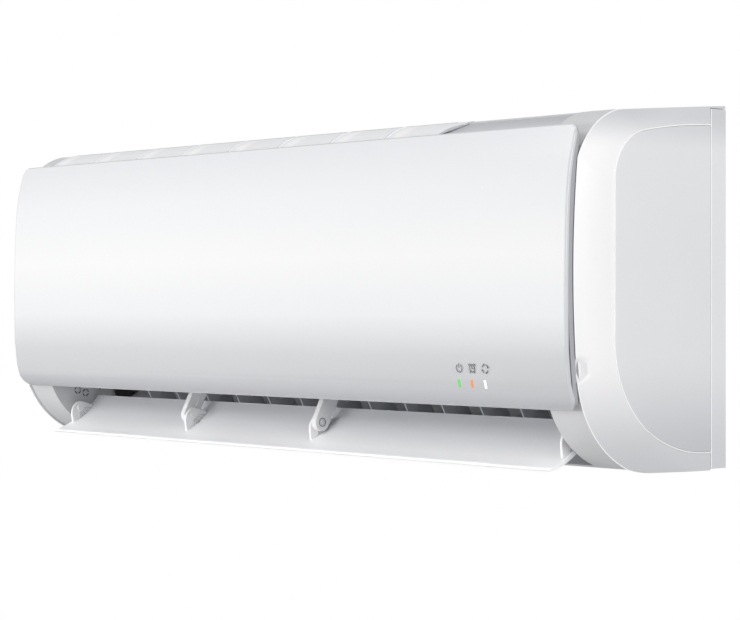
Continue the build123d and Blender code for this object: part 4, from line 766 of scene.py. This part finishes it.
def shoulder_path(rise, lowest=SHOULDER_FOOT_Z):
    """Points across the shoulder from the deck down to a lowest height, raised by rise."""
    points = straight((-112.5, 284.45), RIDGE, 2)
    points += arc(RIDGE, (-142.5, 270.6), (-157.9, 247.0), 40)[1:]
    points = [p for p in points if p[1] > lowest]
    return [pushed(p, n, -rise) for p, n in zip(points, inward(points))]


def shoulder_loops(stations, rise, lowest):
    """Loops across the shoulder at each station, from rise above the deck to a little inside it."""
    top, under = shoulder_path(rise, lowest), shoulder_path(-0.9, lowest)
    return [[(x, *p) for p in top] + [(x, *p) for p in reversed(under)] for x in stations]


def recess_left(share):
    """X of the recess's round left end, at a share of its height."""
    return RECESS_LEFT + RECESS_ROUND * (1 - sqrt(1 - share * share))


def shoulder_strip():
    """Smooth strip over the shoulder below the inlet windows, with a fine rib every few centimetres and its
    painted shadow line.
    """
    loops = shoulder_loops([-368.0 + 4.4 * n for n in range(131)], 0.45, SHOULDER_FOOT_Z)
    shares_up = [clamped((z - RECESS_FOOT_Z) / (RECESS_TOP_Z - RECESS_FOOT_Z)) for _, _, z in loops[-1]]
    loops.append([(recess_left(share) - 0.2, y, z) for share, (_, y, z) in zip(shares_up, loops[-1])])
    lofted("shoulder_strip", loops, FINISHES["shoulder"], "housing")
    loops = shoulder_loops((352.4, 365.0, 378.0, 391.3), 0.3, CORNER_FOOT_Z)
    lofted("shoulder_corner", loops, CASE, "housing")
    for number, x in enumerate(RIB_X, 1):
        path = [(x, *p) for p in shoulder_path(0.5)[2:-2]]
        bead("shoulder_rib_%d" % number, path, 0.75, FINISHES["shoulder"], "housing")
        # grey line to the left of each rib: painted shadow of the rib
        line = [(x - 1.6, *p) for p in shoulder_path(0.42)[3:-2]]
        bead("shoulder_rib_painted_shadow_%d" % number, line, 0.42, LINE_GREY, "housing", sides=6)
    ridge = [(x, -112.9, 284.95) for x in (-366.0, -180.0, 0.0, 180.0, 207.0)]
    bead("ridge_line", ridge, 0.4, LINE_GREY, "housing", sides=6)


def recess_lining():
    """Lining of the recess beside the windows, round at its left end, with painted shade under its top edge.
    """
    sections = []
    for n in range(13):
        t = n / 12
        y, z = between((-151.6, RECESS_FOOT_Z), (-119.6, RECESS_TOP_Z), t)
        left = recess_left(t)
        sections.append([(left, y, z + 0.1), (left + 0.3, y, z + 0.6),
                         (RECESS_RIGHT - 0.3, y, z + 0.6), (RECESS_RIGHT, y, z + 0.1)])
    lofted("recess_lining", sections, RECESS_GREY, "housing")


shoulder_strip()
recess_lining()


# ---------------------------------------------------------------- flap
FLAP_HALF = 351.0
FLAP_SAG = 5.0
FLAP_THICK = 3.0
FLAP_CHORD = hypot(FLAP_REAR[0] - FLAP_FRONT[0], FLAP_REAR[1] - FLAP_FRONT[1])
FLAP_DROP = 1.1              # how far the front edge hangs below FLAP_FRONT at the middle
FLAP_TWIST = 0.0034          # and how much more for each millimetre to the right


def on_flap(x, along, depth):
    """Place on the flap: along its chord from the front edge, and down from the chord."""
    cy, cz = (FLAP_REAR[0] - FLAP_FRONT[0]) / FLAP_CHORD, (FLAP_REAR[1] - FLAP_FRONT[1]) / FLAP_CHORD
    sink = (FLAP_DROP + FLAP_TWIST * x) * (1 - along / FLAP_CHORD)
    return (x, FLAP_FRONT[0] + along * cy + depth * cz, FLAP_FRONT[1] + along * cz - depth * cy - sink)


def flap_sag(along):
    """How far the flap's upper face hangs below its chord."""
    share = along / FLAP_CHORD
    return 4 * FLAP_SAG * share * (1 - share)


def flap_blade():
    """Curved flap with a groove behind its rolled front bead."""
    end = FLAP_CHORD
    upper = [end - 1.0 - n * (end - 5.2) / 26 for n in range(27)]
    lower = [5.0 + n * (end - 8.0) / 20 for n in range(1, 20)]
    lip = [radians(-20 - 22.5 * n) for n in range(1, 10)]
    profile = [(end - 0.2, 0.0)] + [(along, flap_sag(along)) for along in upper]
    profile += [(3.6, 1.15), (3.1, 1.55), (2.7, 1.45), (2.5, 0.7)]
    profile += [(0.95 + 1.5 * cos(t), 1.0 + 1.5 * sin(t)) for t in lip]
    profile += [(2.4, 2.9), (5.0, 4.1)]
    profile += [(along, flap_sag(along) + FLAP_THICK) for along in lower]
    profile += [(end - 1.5, 2.9), (end - 0.3, 2.2), (end + 0.1, 1.2), (end + 0.1, 0.5)]
    middle = [-300.0 + 60 * n for n in range(11)]
    stations = [-FLAP_HALF, -FLAP_HALF + 0.5, *middle, FLAP_HALF - 0.5, FLAP_HALF]
    sections = [[on_flap(x, along, depth) for along, depth in profile] for x in stations]
    piece = lofted("flap_blade", sections, FINISHES["flap_white"], "flap", 40.0)
    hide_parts("flap")


flap_blade()


# ---------------------------------------------------------------- ears, arms and pins of the flap
EAR_FACES = (-344.9, -151.0, 35.6, 347.5)
EAR_THICK = 2.6
EAR_LEFT_FOOT = (-131.4, 10.6)
EAR_RIGHT_FOOT = (-104.6, 27.4)
ARM_LEAN = radians(27)


def circle(centre, radius, count):
    """Points round a circle that lies across X."""
    turns = [2 * pi * n / count for n in range(count)]
    return [(centre[0] + radius * cos(t), centre[1] + radius * sin(t)) for t in turns]


def plate(name, outline, x0, x1, finish, body):
    """Flat plate across X with softened edges, from a convex or nearly convex (y, z) outline."""
    cy = sum(p[0] for p in outline) / len(outline)
    cz = sum(p[1] for p in outline) / len(outline)
    shrink = 0.35

    def inset(p):
        length = max(hypot(p[0] - cy, p[1] - cz), 0.1)
        return (p[0] - (p[0] - cy) / length * shrink, p[1] - (p[1] - cz) / length * shrink)

    small = [inset(p) for p in outline]
    step = shrink if x1 > x0 else -shrink
    sections = [[(x0, *p) for p in small], [(x0 + step, *p) for p in outline],
                [(x1 - step, *p) for p in outline], [(x1, *p) for p in small]]
    return lofted(name, sections, finish, body, 30.0)


def flap_ear(number, face):
    """Fan-shaped ear: a round head at the pivot, ribs that spread to a stepped foot, greyer as painted shade.
    """
    py, pz = FLAP_PIVOT
    crown = (-124.2, 33.8)
    head = arc((-132.4, 18.0), (-130.3, 29.2), crown, 12) + arc(crown, (-117.0, 32.6), (-108.0, 29.4), 8)[1:]
    teeth = []
    for n in range(7):
        t = n / 6
        y, z = between(EAR_RIGHT_FOOT, EAR_LEFT_FOOT, t)
        z -= 3.4 * sin(pi * t)
        teeth.append((y, z))
        if n < 6:
            teeth.append((y - 0.6 + (py - y) * 0.12, z - 1.0 + (pz - z) * 0.12))
    ear = plate("flap_ear_%d" % number, head + teeth, face - EAR_THICK, face,
                CLEAN_WHITE, "flap")
    for n in range(5):
        y, z = teeth[2 * n + 1]
        length = hypot(y - py, z - pz)
        ny, nz = -(z - pz) / length, (y - py) / length
        tip = [(py + (y - py) * s + w * ny, pz + (z - pz) * s + w * nz)
               for s, w in ((0.34, -0.22), (0.96, -0.75), (0.96, 0.75), (0.34, 0.22))]
        plate("ear_rib_%d_%d" % (number, n), tip, face - 0.2, face + 0.9, RIB_GREY, "flap")
    return ear


def flap_arm(word, x, rib):
    """Fixed arm with a raised strip along its side, or else the eye and the head of its pin, with a painted
    shadow ring round the eye.
    """
    py, pz = FLAP_PIVOT

    def at(u, v):
        """Point u across the arm and v up along it from the pivot."""
        return (py - u * cos(ARM_LEAN) + v * sin(ARM_LEAN), pz + u * sin(ARM_LEAN) + v * cos(ARM_LEAN))

    turns = [radians(180 * n / 14) for n in range(15)]
    foot = [at(8 * cos(t), -8 * sin(t)) for t in turns]
    outline = foot + [at(-8, 26), (-112.0, 79.5), (-138.0, 66.0), at(8, 26)]
    arm = plate("arm_plate_" + word, outline, x - 3, x + 3, CLEAN_WHITE, "housing")
    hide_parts("flap_arm_" + word)
    if rib:
        strip = [at(-1.2, 3.5), at(-7.0, 3.5), at(-7.0, 26), at(-1.2, 26)]
        plate("arm_strip_" + word, strip, x + 2.8, x + 3.35, CLEAN_WHITE, "housing")
    else:
        # dark ring round the eye: painted shadow
        around = circle(FLAP_PIVOT, 3.6, 24)
        eye = [(x + 3.0, *p) for p in around + around[:1]]
        bead("arm_eye_" + word, eye, 0.45, SHADE_GREY, "housing")
        head = circle(FLAP_PIVOT, 1.5, 14)
        plate("pin_head_" + word, head, x + 2.6, x + 3.7, CLEAN_WHITE, "flap")


for number, face in enumerate(EAR_FACES, 1):
    ear = flap_ear(number, face)
    if number == 1:
        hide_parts("flap_ears")
flap_arm("left", -157.0, True)
flap_arm("right", 39.0, False)


def cheek_marks():
    """Slots of two bosses high on the left cheek, drawn as black arcs: painted shade in place of cut slots;
    and a small dowel beside them.
    """
    x = -OUTLET_HALF + 0.1
    for number, (cy, cz) in enumerate(((-120.8, 44.6), (-111.1, 41.8)), 1):
        for part in range(4):
            turns = [radians(part * 90 + 12 + 66 * n / 8) for n in range(9)]
            # black arcs on the flat cheek: painted shade in place of the slots
            path = [(x, cy + 3.3 * cos(t), cz + 3.3 * sin(t)) for t in turns]
            slot = "cheek_slot_%d_%d" % (number, part + 1)
            bead(slot, path, 0.5, DEEP_BLACK, "housing", sides=6)
    dowel = circle((-93.8, 45.5), 0.8, 12)
    plate("cheek_dowel", dowel, x - 0.4, x + 1.2, DEEP_BLACK, "housing")


cheek_marks()


def lamp_lenses():
    """Lit lenses, flush in the slots of the panel's foot."""
    foot, top, gap = LAMP_Z[0], LAMP_Z[1], 0.05
    outline = [(panel_front(z) + 0.12, z) for z in (top - gap, 69.5, 67.8, 66.0, foot + gap)]
    outline += [(panel_front(foot) + 2.8, foot + gap), (panel_front(top) + 2.8, top - gap)]
    for number, x in enumerate(LAMP_X, 1):
        left, right = x - LAMP_WIDTH / 2 + 0.04, x + LAMP_WIDTH / 2 - 0.04
        lens = plate("lamp_lens_%d" % number, outline, left, right,
                     FINISHES["lamp_clear"], "panel")
        if number == 1:
            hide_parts("indicator_windows")


lamp_lenses()


# ---------------------------------------------------------------- symbols above the lamps
INK_WIDTH = 0.5
SYMBOL_SHIFT = 2.4           # the signs stand a little to the right of their lamps
SYMBOL_Z = 81.0


def ribbon(line, closed):
    """Pairs of points on both sides of a thin line, as (x, z)."""
    pairs = []
    count = len(line)
    for n, (x, z) in enumerate(line):
        before = line[(n - 1) % count] if closed or n > 0 else line[n]
        after = line[(n + 1) % count] if closed or n < count - 1 else line[n]
        dx, dz = after[0] - before[0], after[1] - before[1]
        length = hypot(dx, dz)
        nx, nz = -dz / length * INK_WIDTH / 2, dx / length * INK_WIDTH / 2
        pairs.append(((x + nx, z + nz), (x - nx, z - nz)))
    return pairs


def ink(name, lines):
    """Thin inked lines that lie on the panel, each with a word on whether it is closed."""
    points, faces = [], []
    for line, closed in lines:
        pairs = ribbon(line, closed)
        base = len(points)
        for outer, inner in pairs:
            for x, z in (outer, inner):
                y = panel_front(z)
                points.append((x, y - 0.06, z))
                points.append((x, y + 0.12, z))
        count = len(pairs)
        for n in range(count if closed else count - 1):
            a, b = base + 4 * n, base + 4 * ((n + 1) % count)
            faces.append((a, b, b + 2, a + 2))
            faces.append((a + 1, a + 3, b + 3, b + 1))
            faces.append((a, a + 1, b + 1, b))
            faces.append((a + 2, b + 2, b + 3, a + 3))
        if not closed:
            for a in (base, base + 4 * (count - 1)):
                faces.append((a, a + 2, a + 3, a + 1))
    return new_piece(name, points, faces, INK_GREY, "panel")


def ring(x, z, radius, start, end, count=28):
    """Points on a stretch of a circle, from start to end in degrees clockwise from its top."""
    turns = [radians(start + (end - start) * n / (count - 1)) for n in range(count)]
    return [(x + radius * sin(t), z + radius * cos(t)) for t in turns]


def power_symbol(x, z):
    """Broken ring with an upright stroke in its gap."""
    stroke = [(x, z + 0.4), (x, z + 2.0), (x, z + 3.9)]
    ink("symbol_power", [(ring(x, z, 3.3, 35, 325), False), (stroke, False)])


def timer_symbol(x, z):
    """Clock with its hands, two bells and two feet."""
    hands = [(x + 1.5, z), (x + 0.1, z), (x, z + 0.1), (x, z + 1.9)]
    lines = [(ring(x, z, 3.0, 0, 360 - 360 / 28), True), (hands, False)]
    for side in (-1, 1):
        bell = [(x + side * 3.9, z + 2.3), (x + side * 3.3, z + 3.1), (x + side * 2.2, z + 3.9)]
        foot = [(x + side * 2.0, z - 2.6), (x + side * 2.5, z - 3.2), (x + side * 3.0, z - 3.8)]
        lines += [(bell, False), (foot, False)]
    ink("symbol_timer", lines)


def circulation_symbol(x, z):
    """Four arrows that chase each other round a ring."""
    lines = []
    for start in (20, 110, 200, 290):
        end = start + 62
        shaft = ring(x, z, 3.4, start, end, 12)
        lines.append((shaft, False))
        tip = shaft[-1]
        for turn in (end + 90 + 150, end + 90 - 150):
            barb = (tip[0] + 1.1 * sin(radians(turn)), tip[1] + 1.1 * cos(radians(turn)))
            lines.append(([tip, barb], False))
    ink("symbol_circulation", lines)


# on and off, timer and air going round: plain signs such as any maker uses
for sign, x in zip((power_symbol, timer_symbol, circulation_symbol), LAMP_X):
    sign(x + SYMBOL_SHIFT, SYMBOL_Z)


# ---------------------------------------------------------------- camera, light and floor
# places and reaches here are in metres
CAMERA_PLACE = (1.6147, -1.4344, -0.0182)
CAMERA_TURN = 49.17          # degrees to the left of straight at the wall
CAMERA_LENS = 111.62
CAMERA_SHIFT = (0.0086, -0.0070)
ROOM_LIGHT = 0.34
FLOOR_Z = -1.3
FLOOR_REACH = 3.0
scene = bpy.context.scene
scene.view_settings.view_transform = "Standard"


def photo_camera():
    lens = bpy.data.cameras.new("photo_camera")
    lens.sensor_width = 36.0
    lens.lens = CAMERA_LENS
    lens.shift_x, lens.shift_y = CAMERA_SHIFT
    lens.clip_end = 60.0
    camera = bpy.data.objects.new("photo_camera", lens)
    camera.location = CAMERA_PLACE
    camera.rotation_euler = (radians(90), 0, radians(CAMERA_TURN))
    scene.collection.objects.link(camera)
    scene.camera = camera


def pale_room():
    """World that is white to the eye, in reflections and through glass, and lights the unit dimly."""
    world = bpy.data.worlds.new("pale_room")
    world.use_nodes = True
    scene.world = world
    tree = world.node_tree
    base = next(n for n in tree.nodes if n.type == "BACKGROUND")
    seen = tree.nodes.new("ShaderNodeBackground")
    for background, strength in ((base, ROOM_LIGHT), (seen, 1.0)):
        background.inputs["Color"].default_value = (1, 1, 1, 1)
        background.inputs["Strength"].default_value = strength
    rays = tree.nodes.new("ShaderNodeLightPath")
    white = rays.outputs["Is Camera Ray"]
    for kind in ("Is Transmission Ray", "Is Glossy Ray"):
        either = tree.nodes.new("ShaderNodeMath")
        either.operation = "ADD"
        either.use_clamp = True
        tree.links.new(white, either.inputs[0])
        tree.links.new(rays.outputs[kind], either.inputs[1])
        white = either.outputs[0]
    both = tree.nodes.new("ShaderNodeMixShader")
    tree.links.new(white, both.inputs["Fac"])
    tree.links.new(base.outputs[0], both.inputs[1])
    tree.links.new(seen.outputs[0], both.inputs[2])
    out = next(n for n in tree.nodes if n.type == "OUTPUT_WORLD")
    tree.links.new(both.outputs[0], out.inputs["Surface"])


def lamp(name, place, aim, size, power, spread=180.0, mirrored=True):
    """Oblong lamp in metres, watts and degrees, which the camera never sees."""
    light = bpy.data.lights.new(name, "AREA")
    light.shape = "RECTANGLE"
    light.size, light.size_y = size
    light.energy = power
    light.spread = radians(spread)
    thing = bpy.data.objects.new(name, light)
    thing.location = place
    thing.rotation_euler = (Vector(aim) - Vector(place)).to_track_quat("-Z", "Y").to_euler()
    thing.visible_camera = False
    thing.visible_glossy = mirrored
    scene.collection.objects.link(thing)


def pale_floor():
    finish = Finish("pale_floor", specular_ior_level=0.2, emission_strength=0.42)
    mottle = finish.grain(120.0, 3.0)
    tone = finish.mix(mottle.step(0.3, 0.7), shade("#F7F7F7"), shade("#F4F4F4"))
    looked_at = finish.node("ShaderNodeLightPath", out="Is Camera Ray")
    glow = finish.mix(looked_at, (0, 0, 0, 1), (1, 1, 1, 1))
    finish.feed(base_color=tone, roughness=0.6 + 0.1 * mottle, emission_color=glow)
    corners = ((-1, -1), (1, -1), (1, 1), (-1, 1))
    mesh = bpy.data.meshes.new("floor")
    mesh.from_pydata([(x * FLOOR_REACH, y * FLOOR_REACH, FLOOR_Z) for x, y in corners], [], [(0, 1, 2, 3)])
    mesh.materials.append(finish.material)
    floor = bpy.data.objects.new("floor", mesh)
    scene.collection.objects.link(floor)


photo_camera()
pale_room()
lamp("key_softbox", (-0.9, -2.2, 1.7), (0, -0.1, 0), (1.8, 1.2), 16.0)
lamp("side_softbox", (2.4, -0.6, 0.7), (0.35, -0.1, 0), (1.0, 1.4), 33.0)
lamp("low_softbox", (-0.4, -1.75, 0.0), (0, -0.12, -0.1), (1.6, 0.4), 12.8, mirrored=False)
lamp("outlet_strip", (0.0, -0.45, 0.0), (0, -0.15, -0.18), (0.8, 0.04), 0.11, spread=32.0, mirrored=False)
pale_floor()
